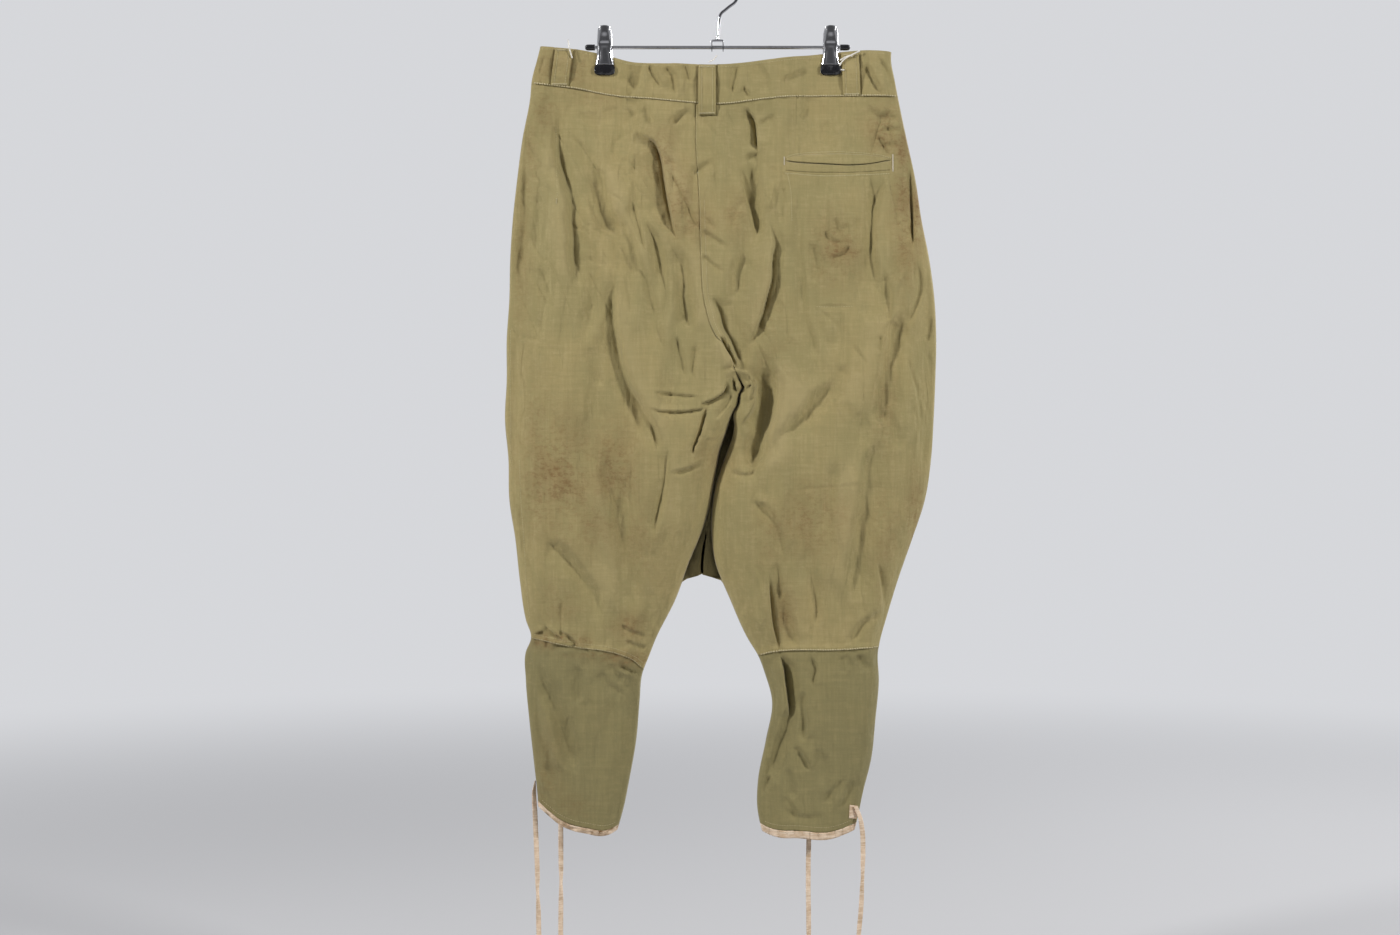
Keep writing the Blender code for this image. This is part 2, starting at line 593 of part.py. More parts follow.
def bracket(finish):
    """A saddle over the rod, cut through for it, with the nut that holds the hook."""
    left, right = BRACKET_X - BRACKET_WIDTH / 2, BRACKET_X + BRACKET_WIDTH / 2
    outline = [
        (left, BRACKET_FOOT), (left, BRACKET_TOP), (right, BRACKET_TOP), (right, BRACKET_FOOT),
        (right - BRACKET_PLATE, BRACKET_FOOT), (right - BRACKET_PLATE, BRACKET_TOP + BRACKET_PLATE),
        (left + BRACKET_PLATE, BRACKET_TOP + BRACKET_PLATE), (left + BRACKET_PLATE, BRACKET_FOOT),
    ]
    shape = bmesh.new()
    corners = [shape.verts.new((x, -BRACKET_DEPTH / 2, -ROD_DROP - drop)) for x, drop in outline]
    face = shape.faces.new(corners)
    pulled = bmesh.ops.extrude_face_region(shape, geom=[face], use_keep_orig=True)
    moved = [item for item in pulled["geom"] if isinstance(item, bmesh.types.BMVert)]
    bmesh.ops.translate(shape, verts=moved, vec=(0, BRACKET_DEPTH, 0))
    saddle = add_object("hook_bracket", shape, finish)
    cutter = cylinder_x("rod_hole", left - 5, right + 5, ROD_RADIUS + GAP, finish)
    cutter.hide_render = True
    cutter.display_type = "WIRE"
    hole = saddle.modifiers.new("rod_hole", "BOOLEAN")
    hole.object = cutter
    shape = bmesh.new()
    bmesh.ops.create_cone(
        shape, segments=6, radius1=NUT_RADIUS, radius2=NUT_RADIUS, depth=NUT_HEIGHT, cap_ends=True
    )
    z = -ROD_DROP - BRACKET_TOP + GAP + NUT_HEIGHT / 2
    bmesh.ops.translate(shape, verts=shape.verts, vec=(-0.4, 0, z))
    add_object("hook_nut", shape, finish, 30)


def clip_jaw(place, centre, layer, finish):
    """A stamped plate with curled sides, wide at its foot and round at its top."""
    share, drop = np.meshgrid(np.linspace(-1, 1, 7), np.array([row.drop for row in JAW]))
    half, off = curve(JAW, "drop", "half", drop), curve(JAW, "drop", "off", drop)
    curl = JAW_CURL * abs(share) ** 4 * smooth(-26, -16, drop)
    inner = points_at(layer, centre + half * share, off - curl, drop)
    normal = outward(inner, layer)
    normal[(0, -1), :, 2] = 0
    wall_between(f"clip_{place}_{layer}", inner + JAW_WALL * unit(normal), inner, finish)


def clip_tip(place, centre, layer, finish):
    """The rubber shoe that grips the waistband."""
    share, level = np.meshgrid(np.linspace(-1, 1, 7), np.linspace(0, 1, 5))
    drop = mix(TIP_TOP, TIP_FOOT, level)
    half = 11.2 + 0.5 * np.sin(np.pi * level) - 1.2 * level**6
    x = centre + half * share
    low = PINCHED + GAP
    crown = TIP_THICK * (1 - 0.3 * abs(share) ** 4) * (1 - 0.25 * level**4)
    inner = points_at(layer, x, np.full(x.shape, low), drop)
    wall_between(f"clip_{place}_{layer}_tip", points_at(layer, x, low + crown, drop), inner, finish)


def clip_spring(place, centre, finish):
    """The coil round the rod between the two jaws, as one sleeve."""
    shape = bmesh.new()
    half = SPRING_LENGTH / 2
    bore = ROD_RADIUS + GAP
    ring = [(-half, bore), (half, bore), (half, SPRING_RADIUS), (-half, SPRING_RADIUS)]
    corners = [shape.verts.new((centre + x, radius, -ROD_DROP)) for x, radius in ring]
    profile = [shape.edges.new((a, b)) for a, b in zip(corners, corners[1:] + corners[:1])]
    bmesh.ops.spin(
        shape, geom=corners + profile, cent=(centre, 0, -ROD_DROP), axis=(1, 0, 0),
        angle=2 * math.pi, steps=18, use_merge=True,
    )
    bmesh.ops.remove_doubles(shape, verts=shape.verts, dist=0.001)
    add_object(f"clip_{place}_spring", shape, finish)


def build():
    clear_scene()
    cloth = finish_named("olive_cotton", OLIVE, 0.9)
    leg_cloth = finish_named("dark_olive_cotton", DARK_OLIVE, 0.9)
    tape = finish_named("beige_tape", TAPE, 0.9)
    steel = finish_named("chrome", STEEL, 0.15, 1.0)
    rubber = finish_named("black_rubber", BLACK, 0.5)
    horn = finish_named("button_horn", HORN, 0.4)

    for side, place in SIDE.items():
        for layer, columns, thigh_rows, leg_rows in (("back", 19, 15, 9), ("front", 12, 10, 6)):
            thigh_panel(f"{layer}_{place}", side, layer, columns, thigh_rows, cloth)
            lower_leg(f"lower_{layer}_{place}", side, layer, columns, leg_rows, leg_cloth, tape)
    waistband("waistband_back", "back", None, None, 38, cloth)
    waistband("waistband_front_left", "front", None, FLY_X - GAP / 2, 20, cloth)
    waistband("waistband_front_right", "front", FLY_X + GAP / 2, None, 22, cloth)
    belt_loop("belt_loop_back_left", "back", -176.5, -182, 3, 45, cloth)
    belt_loop("belt_loop_back_centre", "back", -12.6, -12.6, 23, 80, cloth, side=1)
    belt_loop("belt_loop_back_right", "back", 151.5, 153.5, 7.5, 56, cloth)
    belt_loop("belt_loop_front_left", "front", -88, -90, 21, 59, cloth)
    belt_loop("belt_loop_front_right", "front", 76, 78, 15.5, 58, cloth)
    welt_pocket(cloth)
    fly(cloth, horn)
    tie_tab(tape)
    for name, route in TIES.items():
        tie(name, route, tape)

    hook(steel)
    bracket(steel)
    bare = CAP_LENGTH + GAP
    cylinder_x("hanger_rod", ROD_LEFT + bare, ROD_RIGHT - bare, ROD_RADIUS, steel)
    cylinder_x("rod_cap_left", ROD_LEFT, ROD_LEFT + CAP_LENGTH, CAP_RADIUS, rubber)
    cylinder_x("rod_cap_right", ROD_RIGHT - CAP_LENGTH, ROD_RIGHT, CAP_RADIUS, rubber)
    for place, centre in zip(("left", "right"), CLIPS):
        clip_spring(place, centre, steel)
        for layer in OUT:
            clip_jaw(place, centre, layer, steel)
            clip_tip(place, centre, layer, rubber)


build()
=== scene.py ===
"""Tropical breeches on a wire clip hanger: the finished looks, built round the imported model.

Shapes are worked out in millimetres: x across, and drop, the distance below the hanger's rod.
The back of the garment faces -Y, towards the camera, with its left leg at -X.
"""

import math
from collections import namedtuple

import bmesh
import bpy
import numpy as np
from mathutils import Matrix, Vector


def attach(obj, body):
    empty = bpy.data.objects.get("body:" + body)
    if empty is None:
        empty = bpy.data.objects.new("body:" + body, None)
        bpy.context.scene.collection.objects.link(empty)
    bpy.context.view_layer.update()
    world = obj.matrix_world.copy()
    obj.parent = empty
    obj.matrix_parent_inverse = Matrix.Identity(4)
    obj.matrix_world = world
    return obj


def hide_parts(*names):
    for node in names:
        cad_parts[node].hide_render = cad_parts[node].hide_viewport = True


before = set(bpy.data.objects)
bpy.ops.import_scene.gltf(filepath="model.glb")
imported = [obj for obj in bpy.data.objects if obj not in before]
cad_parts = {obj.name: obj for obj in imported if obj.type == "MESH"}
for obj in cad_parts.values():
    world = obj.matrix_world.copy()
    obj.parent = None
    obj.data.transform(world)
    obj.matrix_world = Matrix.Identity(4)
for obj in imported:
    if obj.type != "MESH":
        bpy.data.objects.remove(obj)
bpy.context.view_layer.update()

MM = 0.001
OUT = {"back": -1, "front": 1}
SIDE = {-1: "left", 1: "right"}

# Picture: how wide it is where the garment hangs, and what its middle looks at, mm
PICTURE_WIDTH = 1610.0
PICTURE_X, PICTURE_Z = -20.7, -571.5
LENS, SENSOR = 50.0, 36.0

# Hanger, mm
ROD_DROP = 88.5
ROD_RADIUS = 2.1
ROD_LEFT, ROD_RIGHT = -153.0, 152.0
CAP_LENGTH, CAP_RADIUS = 11.5, 3.5
HOOK_RADIUS, HOOK_WIRE = 24.0, 1.7
BRACKET_WIDTH, BRACKET_DEPTH, BRACKET_PLATE = 14.0, 8.0, 1.1
BRACKET_TOP, BRACKET_FOOT = -8.3, 4.2
BRACKET_X, STEM_X = -0.6, -0.4
NUT_RADIUS, NUT_HEIGHT = 2.9, 2.3
CLIPS = (-130.3, 129.4)
JAW_WALL = 0.9
SPRING_RADIUS, SPRING_LENGTH, SPRING_WIRE, SPRING_TURNS = 4.2, 12.6, 1.3, 8
TIP_TOP, TIP_FOOT, TIP_THICK = 20.6, 32.2, 3.3

# Cloth, mm
GAP = 0.3
CLOTH_THICK, BAND_THICK, TAPE_THICK = 0.8, 1.3, 1.2
PATCH_WALL, PATCH_LIFT = 1.0, 0.35
TAPE_PROUD, TAPE_WIDTHS = 0.7, {-1: 6.2, 1: 8.4}
CROTCH, CLOSE_FROM = 391.6, 368.0
SIDE_ROUND, INNER_ROUND = 0.36, 0.34
LEAST_DEPTH = 2.0
EDGE_FADE = 13.0
FOLD_DEEP, MOST_PROUD = 1.4, 8.0
CROWDING = 0.25
PINCHED, OPEN_BETWEEN, OPEN_OUTSIDE = 1.65, 11.5, 4.6
PINCH_FLAT, PINCH_REACH = 15.0, 62.0
BAND_ROUND = 14.0
PINCH_FROM, PINCH_GONE = 36.0, 200.0
LOOP_WIDTH, LOOP_WALL, LOOP_FOOT, LOOP_RISE = 20.0, 1.2, 0.9, 1.6
FLY_X, PLACKET_WIDTH, PLACKET_FOOT = -14.0, 36.0, 238.0
BUTTON_RADIUS, BUTTON_THICK = 7.5, 2.6
TIE_WIDTH, TIE_THICK = 5.5, 0.7
STITCH_PITCH, STITCH_LONG, STITCH_WIDE = 2.8, 2.4, 0.85

Side = namedtuple("Side", "drop left right")
SIDES = (
    Side(-2, -204, 200), Side(14, -208, 199), Side(37, -214, 203), Side(58, -216, 207),
    Side(106, -225, 217), Side(152, -231, 227), Side(198, -236, 234), Side(244, -239, 243),
    Side(290, -240, 249), Side(336, -243, 251), Side(382, -243, 250), Side(428, -245, 248),
    Side(474, -241, 245), Side(520, -240, 238), Side(566, -233, 223), Side(612, -228, 207),
    Side(658, -221, 193), Side(679, -215, 187), Side(695, -221, 184), Side(727, -221, 185),
    Side(773, -217, 181), Side(819, -212, 176), Side(855, -208, 167), Side(888, -205, 160),
    Side(908, -201, 155),
)
Inseam = namedtuple("Inseam", "drop left right")
INSEAMS = (
    Inseam(391.6, 28.6, 28.9), Inseam(400, 24.4, 24.7), Inseam(411, 22.4, 22.7),
    Inseam(422, 16.2, 17.2), Inseam(434, 12, 18), Inseam(446, 8.4, 16.6), Inseam(463, 3, 10.6),
    Inseam(486, -1.6, 2.4), Inseam(505, -5, -3.4), Inseam(526, -8.8, -7), Inseam(553, -17, -8),
    Inseam(589, -32, -4),
    Inseam(635, -49, 14), Inseam(681, -72, 35), Inseam(699, -79, 46), Inseam(720, -87, 54),
    Inseam(750, -90, 62), Inseam(796, -94, 55), Inseam(842, -102, 46), Inseam(872, -108, 45),
    Inseam(908, -118, 52),
)
Seam = namedtuple("Seam", "drop back front")
CENTRE_SEAMS = (
    Seam(40, -24, -14), Seam(106, -26, -14), Seam(175, -22, -12), Seam(244, -20, -8),
    Seam(290, -17, -1), Seam(325, -9, 6), Seam(354, 9, 15), Seam(391.6, 28.75, 28.75),
)
Depth = namedtuple("Depth", "drop back front")
DEPTHS = (
    Depth(0, 14, 13), Depth(100, 17, 15), Depth(200, 23, 20), Depth(300, 27, 23),
    Depth(400, 30, 25), Depth(500, 31, 26), Depth(570, 29, 24), Depth(630, 24, 20),
    Depth(690, 18, 15), Depth(740, 18, 15), Depth(820, 16, 14), Depth(910, 13, 12),
)
Band = namedtuple("Band", "x top seam")
BAND = (
    Band(-212, -2, 43), Band(-187, 1, 46), Band(-160, 3, 49), Band(-130, 9, 55),
    Band(-92, 19, 60), Band(-44, 21, 65), Band(0, 22, 68), Band(54, 17, 62), Band(94, 11, 58),
    Band(129, 7, 57), Band(165, 4, 57), Band(206, 6, 58),
)
Line = namedtuple("Line", "share left right")
KNEES = (
    Line(0, 715, 699), Line(0.15, 702, 694), Line(0.3, 695, 692), Line(0.6, 689, 692),
    Line(1, 679, 689),
)
HEMS = (
    Line(0, 899, 900), Line(0.08, 903, 904), Line(0.4, 902, 907), Line(0.75, 891, 908),
    Line(1, 872, 899),
)
Lip = namedtuple("Lip", "share top mouth foot")
POCKET_LEFT, POCKET_RIGHT = 77.0, 198.0
POCKET = (
    Lip(0, 130, 133, 144), Lip(0.08, 127, 134.2, 145), Lip(0.35, 124, 136, 146),
    Lip(0.62, 124, 137.6, 146), Lip(0.8, 125.5, 135.8, 145), Lip(1, 129.4, 131, 143),
)
LIP_SPLIT = 0.6

# A fold runs down its path.  A depth below zero is a trough, and a ridge of the given share
# stands to its right, or to its left where the share is below zero.  Sharp runs from 0, a soft
# hollow, to 1, a crease, and tuck is how far the ridge leans over the trough.
Fold = namedtuple("Fold", "path width depth ridge sharp tuck", defaults=(0.3, 0.3, 0))
BACK_SEAT = (
    Fold(((-182, 66), (-182, 118), (-175, 152), (-168, 175), (-166, 221), (-162, 256),
          (-159, 290)), 9, -6.5, -0.5, 0.4),
    Fold(((-99, 98), (-78, 109), (-69, 120), (-60, 164), (-55, 198), (-46, 231)),
         8, -7, 0.6, 0.8, 2),
    Fold(((-96, 122), (-84, 165), (-74, 205)), 16, -4, 0.2, 0),
    Fold(((-176, 89), (-147, 147), (-130, 198), (-110, 216)), 12, -4, 0.3, 0.05),
    Fold(((-113, 201), (-90, 242)), 6, -2.5),
    Fold(((-99, 175), (-83, 239)), 4, -2.5, 0.3, 0.6),
    Fold(((-69, 120), (-46, 139)), 5, -2, 0.3, 0.4),
    Fold(((-57, 135), (-32, 193), (-21, 212)), 5, -2.5, 0.3, 0.6),
    Fold(((-163, 75), (-141, 81), (-118, 74), (-90, 80)), 5, -4, 0.3, 0.4),
    Fold(((-84, 68), (-80, 80), (-74, 94)), 4, -3, 0.3, 0.4),
    Fold(((-57, 90), (-44, 80), (-30, 71)), 4, -3.2, 0.3, 0.5),
    Fold(((-32, 148), (-21, 143), (-3, 129)), 5, -2.2),
    Fold(((-21, 212), (10, 233)), 4, -2, 0.3, 0.5),
    Fold(((-21, 193), (-3, 212)), 4, -1.5),
    Fold(((-205, 164), (-210, 239)), 10, -2),
    Fold(((-153, 193), (-145, 256), (-144, 302), (-156, 348)), 10, -3.5, 0.3, 0.2),
    Fold(((-197, 250), (-194, 273), (-201, 313), (-200, 336)), 8, -2),
    Fold(((-101, 227), (-84, 267), (-72, 313), (-57, 371)), 7, -3.5, 0.4),
    Fold(((-57, 221), (-41, 262), (-36, 300), (-34, 331)), 12, -6, 0.4, 0.3),
    Fold(((-150, 130), (-132, 175), (-112, 228), (-92, 276)), 10, -4, 0.4, 0.1),
    Fold(((-88, 190), (-68, 240), (-60, 290), (-66, 330)), 8, -4, 0.4, 0.4),
    Fold(((-222, 120), (-222, 200), (-228, 270)), 8, -2.5, 0.4, 0.3),
    Fold(((-20, 240), (-8, 252), (8, 262)), 4, -2, 0.3, 0.5),
    Fold(((30, 236), (22, 262), (24, 290)), 7, -2.5, -0.4, 0.4),
    Fold(((-49, 331), (-36, 382)), 5, -2.5, 0.3, 0.5),
    Fold(((-24, 342), (-30, 382)), 4, -2, 0.3, 0.5),
    Fold(((26, 66), (41, 84), (44, 104), (46, 124)), 5, -5, 0.4, 1, 2),
    Fold(((31, 129), (48, 124)), 4, -2.5),
    Fold(((48, 89), (66, 81)), 4, -1.8),
    Fold(((26, 135), (33, 170), (40, 198), (47, 225)), 5, -3.4, -0.5, 0.5, 0.8),
    Fold(((36, 132), (44, 160), (48, 196), (52, 222)), 5, -3, 0.4, 0.5),
    Fold(((66, 156), (55, 193)), 5, 2.5),
    Fold(((60, 201), (66, 227), (63, 242), (61, 267), (54, 296), (46, 325), (34, 348)),
         8, -6.5, -0.5, 0.8, 2),
    Fold(((94, 83), (108, 70)), 3, -1.2),
    Fold(((123, 118), (121, 95), (129, 85)), 4, -1.5, 0.3, 0.5),
    Fold(((169, 66), (186, 81), (201, 72)), 6, -2.2),
    Fold(((181, 83), (209, 81)), 4, -1.6, 0.3, 0.5),
    Fold(((186, 95), (215, 95)), 4, -2, 0.3, 0.5),
    Fold(((186, 116), (206, 112)), 4, -1.8),
    Fold(((183, 101), (195, 127)), 4, -2.5, 0.3, 0.6),
    Fold(((221, 129), (222, 181), (223, 233)), 5, -5, 0.4, 0.9, 1.5),
    Fold(((230, 175), (224, 204)), 4, -2.5),
    Fold(((227, 244), (230, 273), (223, 302), (216, 325)), 6, -3, 0.3, 0.5),
    Fold(((244, 308), (239, 342)), 4, -1.8),
    Fold(((93, 152), (93, 244), (98, 313), (108, 342), (109, 377)), 6, -2.5, 0.2),
    Fold(((193, 144), (183, 170), (176, 193), (174, 221), (178, 267), (183, 290)),
         8, -3.8, 0.5, 0.5, 0.6),
    Fold(((112, 300), (152, 300)), 2.5, -0.8),
    Fold(((120, 212), (130, 224), (141, 228)), 3, -1.6, 0.4, 0.6),
    Fold(((126, 246), (142, 240), (150, 228)), 3, -1.8, 0.4, 0.7),
    Fold(((131, 196), (136, 208), (134, 220)), 3, -1.4, 0.4, 0.5),
    Fold(((160, 196), (156, 216), (160, 240)), 5, -1.8, 0.4, 0.3),
    Fold(((104, 224), (112, 248), (108, 276)), 7, -2.2, 0.4, 0.2),
    Fold(((113, 302), (140, 325)), 2.5, -0.8),
    Fold(((146, 202), (150, 221)), 3, -1.5, 0.3, 0.7),
    Fold(((135, 216), (146, 208)), 3, -1.2),
    Fold(((-6, 287), (8, 325), (31, 371)), 9, -6, -0.4, 0.7, 1.5),
    Fold(((1, 334), (6, 346), (12, 357), (20, 369)), 4.5, -8, -0.5, 1, 2),
    Fold(((6, 381), (14, 374), (25, 374), (34, 378), (40, 386)), 3.4, 5, 0.3, 0.7),
    Fold(((40, 380), (42, 388), (39, 398), (34, 408)), 3, 4, 0.3, 0.6),
    Fold(((16, 382), (19, 387), (20, 394), (22, 400)), 1.8, -4, 0.5, 1, 0.6),
    Fold(((20, 384), (20, 391), (24, 398)), 2.4, -4, 0.5, 1, 0.8),
    Fold(((25, 399), (31, 394), (38, 387)), 2.4, -5, 0.5, 1, 0.8),
)
BACK_LEFT_LEG = (
    Fold(((-115, 256), (-122, 290), (-121, 319), (-110, 371), (-95, 405), (-72, 446),
          (-72, 474)), 10, -6, 0.5, 0.5, 1),
    Fold(((-76, 397), (-48, 401), (-21, 403)), 2.2, -2, 0.4, 0.8),
    Fold(((-85, 414), (-62, 419), (-44, 420), (-26, 418), (-11, 415)), 2.6, -3.4, 0.5, 1, 0.6),
    Fold(((-12, 411), (-16, 433), (-24, 455), (-30, 470)), 2.2, -5.5, 0.35, 1, 1.2),
    Fold(((11, 384), (7, 396), (-2, 404), (-12, 409), (-22, 413)), 3.4, -5.5, -0.5, 1, 1.2),
    Fold(((20, 416), (14, 426), (10, 435), (1, 444)), 2.6, -5, -0.5, 1, 1),
    Fold(((14, 397), (12, 408), (4, 420), (-4, 430)), 4, -2.6, 0.4, 0.5),
    Fold(((-14, 453), (-2, 451), (8, 446)), 2.4, -2, 0.4, 0.7),
    Fold(((-60, 488), (-40, 487), (-26, 481), (-16, 474)), 2.4, -1.6, 0.4, 0.7),
    Fold(((-56, 451), (-63, 509), (-76, 566)), 9, -4.5, 0.5, 0.6, 0.8),
    Fold(((-147, 342), (-132, 394)), 8, -2),
    Fold(((-130, 463), (-115, 532), (-101, 612), (-98, 658)), 12, -4.5, -0.2, 0.2),
    Fold(((-195, 566), (-179, 580), (-153, 612), (-130, 658)), 10, -3.5),
    Fold(((-53, 492), (-21, 478)), 3, -1.6, 0.3, 0.6),
    Fold(((-214, 676), (-199, 670)), 3, -3, 0.4, 1, 1),
    Fold(((-199, 664), (-176, 681)), 3, -3, 0.4, 1, 1),
    Fold(((-178, 630), (-179, 660), (-176, 682)), 4, -1.6, 0.3, 0.4),
    Fold(((-182, 668), (-170, 676), (-158, 689)), 3, -2.6, 0.4, 0.8, 1),
    Fold(((-193, 684), (-172, 688), (-160, 684)), 3, -1.8, 0.4, 0.8),
    Fold(((-112, 662), (-98, 671), (-82, 676)), 3, -1.5, 0.4, 0.6),
    Fold(((-108, 680), (-94, 687), (-78, 690)), 3, -1.4, 0.4, 0.6),
    Fold(((-115, 709), (-104, 716), (-93, 719), (-84, 718)), 2.4, -3.4, -0.5, 1, 0.6),
    Fold(((-122, 712), (-112, 728), (-101, 738)), 4, -1.2, 0.3, 0.4),
    Fold(((-210, 704), (-192, 745), (-181, 773), (-170, 808), (-164, 836)), 10, -6, -0.4, 0.15),
    Fold(((-218, 722), (-206, 766), (-195, 812), (-186, 862)), 10, -3, -0.3, 0.05),
    Fold(((-126, 706), (-107, 731)), 6, -1.6, 0.3, 0.3),
    Fold(((-136, 714), (-125, 733), (-104, 745)), 6, -2.4, 0.3, 0.2),
    Fold(((-164, 706), (-160, 730), (-163, 756)), 6, -2.8, 0.3, 0.2),
)
BACK_RIGHT_LEG = (
    Fold(((44, 346), (52, 374), (53, 398), (51, 424), (46, 450), (41, 474), (34, 506)),
         15, -8.5, 0.2, 0.1),
    Fold(((52, 356), (59, 380), (60, 402), (56, 426), (50, 450), (43, 474), (38, 496)),
         9, -6.5, 0.2, 0.15),
    Fold(((35, 378), (40, 396), (38, 416), (26, 435)), 4, 4.5, 0.3, 0.6),
    Fold(((136, 380), (112, 408), (86, 434), (64, 456), (44, 482)), 10, -5, -0.5, 0.2),
    Fold(((189, 250), (195, 302), (191, 319)), 5, -3, 0.3, 0.5),
    Fold(((184, 331), (184, 354)), 4, -2, 0.3, 0.6),
    Fold(((215, 256), (201, 279), (192, 325), (175, 394), (171, 428)), 5, 1.5),
    Fold(((212, 300), (201, 342), (188, 404), (180, 440)), 14, -5.5, -0.6, 0.15),
    Fold(((-20, 122), (-50, 118), (-74, 108)), 3, -1.4, 0.3, 0.5),
    Fold(((130, 175), (122, 205), (128, 236)), 5, -1.8, 0.3, 0.4),
    Fold(((136, 470), (128, 530), (136, 600)), 9, -3, 0.4, 0.3),
    Fold(((96, 560), (108, 620), (112, 670)), 7, -2.4, -0.4, 0.3),
    Fold(((180, 440), (172, 490), (164, 545), (157, 600), (155, 640)), 14, -5.5, -0.6, 0.2),
    Fold(((180, 420), (192, 430), (202, 448), (207, 466)), 8, -2.2, 0.4, 0.1),
    Fold(((181, 588), (187, 620), (193, 652)), 4, -3, -0.4, 0.5),
    Fold(((150, 683), (166, 662), (190, 644)), 5, -2.4, 0.4, 0.3),
    Fold(((146, 365), (129, 411)), 8, -3),
    Fold(((152, 342), (172, 369)), 2.5, -1, 0.3, 0.8),
    Fold(((12, 486), (31, 492), (43, 486)), 3.5, -2.2, 0.3, 0.6),
    Fold(((1, 503), (2, 532)), 3.5, -2.5, 0.3, 0.6),
    Fold(((37, 520), (62, 543), (77, 589)), 6, -3, 0.4),
    Fold(((77, 509), (175, 502)), 2, -0.45),
    Fold(((57, 600), (60, 636), (63, 664), (71, 696)), 2.8, -3.8, -0.5, 0.8, 1.2),
    Fold(((64, 606), (70, 640), (80, 672), (92, 690)), 9, -3, 0.3, 0.1),
    Fold(((72, 697), (77, 720), (81, 746), (82, 772)), 5.5, -9, -0.5, 0.7, 2.2),
    Fold(((83, 752), (80, 776), (72, 800), (65, 822), (59, 846)), 8, -5.5, -0.4, 0.15, 0.6),
    Fold(((64, 758), (61, 786), (57, 814), (55, 846)), 2.6, -2.6, -0.5, 0.6, 0.5),
    Fold(((66, 589), (74, 635)), 5, -2.5, 0.3, 0.5),
    Fold(((104, 696), (112, 712), (110, 722), (108, 735)), 3.4, -2.6, 0.4, 0.7, 0.6),
    Fold(((99, 735), (97, 758), (99, 777), (96, 797)), 5, -3, 0.4, 0.3, 0.4),
    Fold(((90, 807), (98, 818), (104, 830)), 4, -1.6, 0.4, 0.5),
    Fold(((157, 697), (164, 706), (170, 716)), 3, -1.6, 0.4, 0.6),
    Fold(((140, 697), (143, 708), (146, 720)), 3, -1.4, 0.4, 0.6),
    Fold(((60, 836), (56, 846), (48, 860)), 4, -2.4, 0.3, 0.5),
    Fold(((85, 802), (96, 812), (104, 829)), 4, -2, 0.4, 0.2),
    Fold(((112, 800), (124, 842), (122, 878)), 8, -1.6, 0.3, 0.1),
    Fold(((120, 866), (134, 852), (144, 838)), 5, -1.8, 0.4, 0.3),
    Fold(((74, 858), (84, 872), (88, 886)), 5, -1.6, 0.4, 0.3),
    Fold(((138, 874), (148, 858), (156, 838)), 5, -1.8, 0.4, 0.3),
    Fold(((80, 825), (86, 865)), 5, -1.8),
    Fold(((146, 695), (152, 714)), 5, -2),
    Fold(((160, 695), (175, 716)), 5, -1.8),
    Fold(((66, 868), (94, 884), (126, 880)), 5, -1),
)
FRONT_SEAT = (
    Fold(((-170, 75), (-166, 118), (-160, 160), (-154, 220), (-150, 280)), 9, -5, 0.4, 0.5),
    Fold(((-70, 90), (-62, 128), (-64, 175), (-84, 262)), 9, -6, -0.5, 0.8, 2),
    Fold(((-120, 80), (-112, 130), (-118, 190)), 6, -3, 0.3, 0.5),
    Fold(((-196, 90), (-188, 150), (-198, 214)), 7, -3, 0.3),
    Fold(((-44, 96), (-30, 150), (-26, 200)), 5, -2.5, 0.3, 0.6),
    Fold(((70, 85), (82, 140), (80, 196), (64, 282)), 9, -6, 0.5, 0.8, 2),
    Fold(((120, 78), (114, 128), (126, 182)), 6, -2.5, 0.3, 0.4),
    Fold(((160, 70), (172, 120), (170, 190), (150, 296)), 10, -5, -0.4, 0.5),
    Fold(((202, 110), (196, 170), (208, 236)), 6, -4, 0.4, 0.8, 1),
    Fold(((44, 230), (38, 284), (22, 336)), 6, -4, -0.4, 0.7, 1),
    Fold(((-50, 262), (-28, 312), (6, 356)), 7, -5, -0.4, 0.7, 1.5),
    Fold(((96, 250), (84, 310), (52, 362)), 8, -5, 0.4, 0.6),
)
FRONT_LEFT_LEG = (
    Fold(((-105, 300), (-120, 350), (-121, 400), (-96, 500)), 10, -6, 0.4, 0.5, 1),
    Fold(((-40, 390), (-58, 440), (-70, 500), (-80, 590)), 9, -7, 0.4, 0.7, 1.5),
    Fold(((-190, 500), (-176, 548), (-152, 600), (-132, 660)), 9, -4, 0.3),
    Fold(((-200, 300), (-190, 360), (-196, 430)), 9, -4, -0.3, 0.4),
    Fold(((-30, 430), (-48, 452), (-70, 460)), 4, -3, 0.4, 0.8),
    Fold(((-150, 420), (-146, 480), (-158, 540)), 7, -3, 0.3, 0.4),
    Fold(((-205, 700), (-186, 745), (-178, 800), (-170, 860)), 8, -4, 0.3, 0.4),
    Fold(((-110, 700), (-124, 745), (-128, 800), (-122, 860)), 8, -4, -0.3, 0.5),
    Fold(((-150, 704), (-146, 744)), 5, -2, 0.3, 0.5),
)
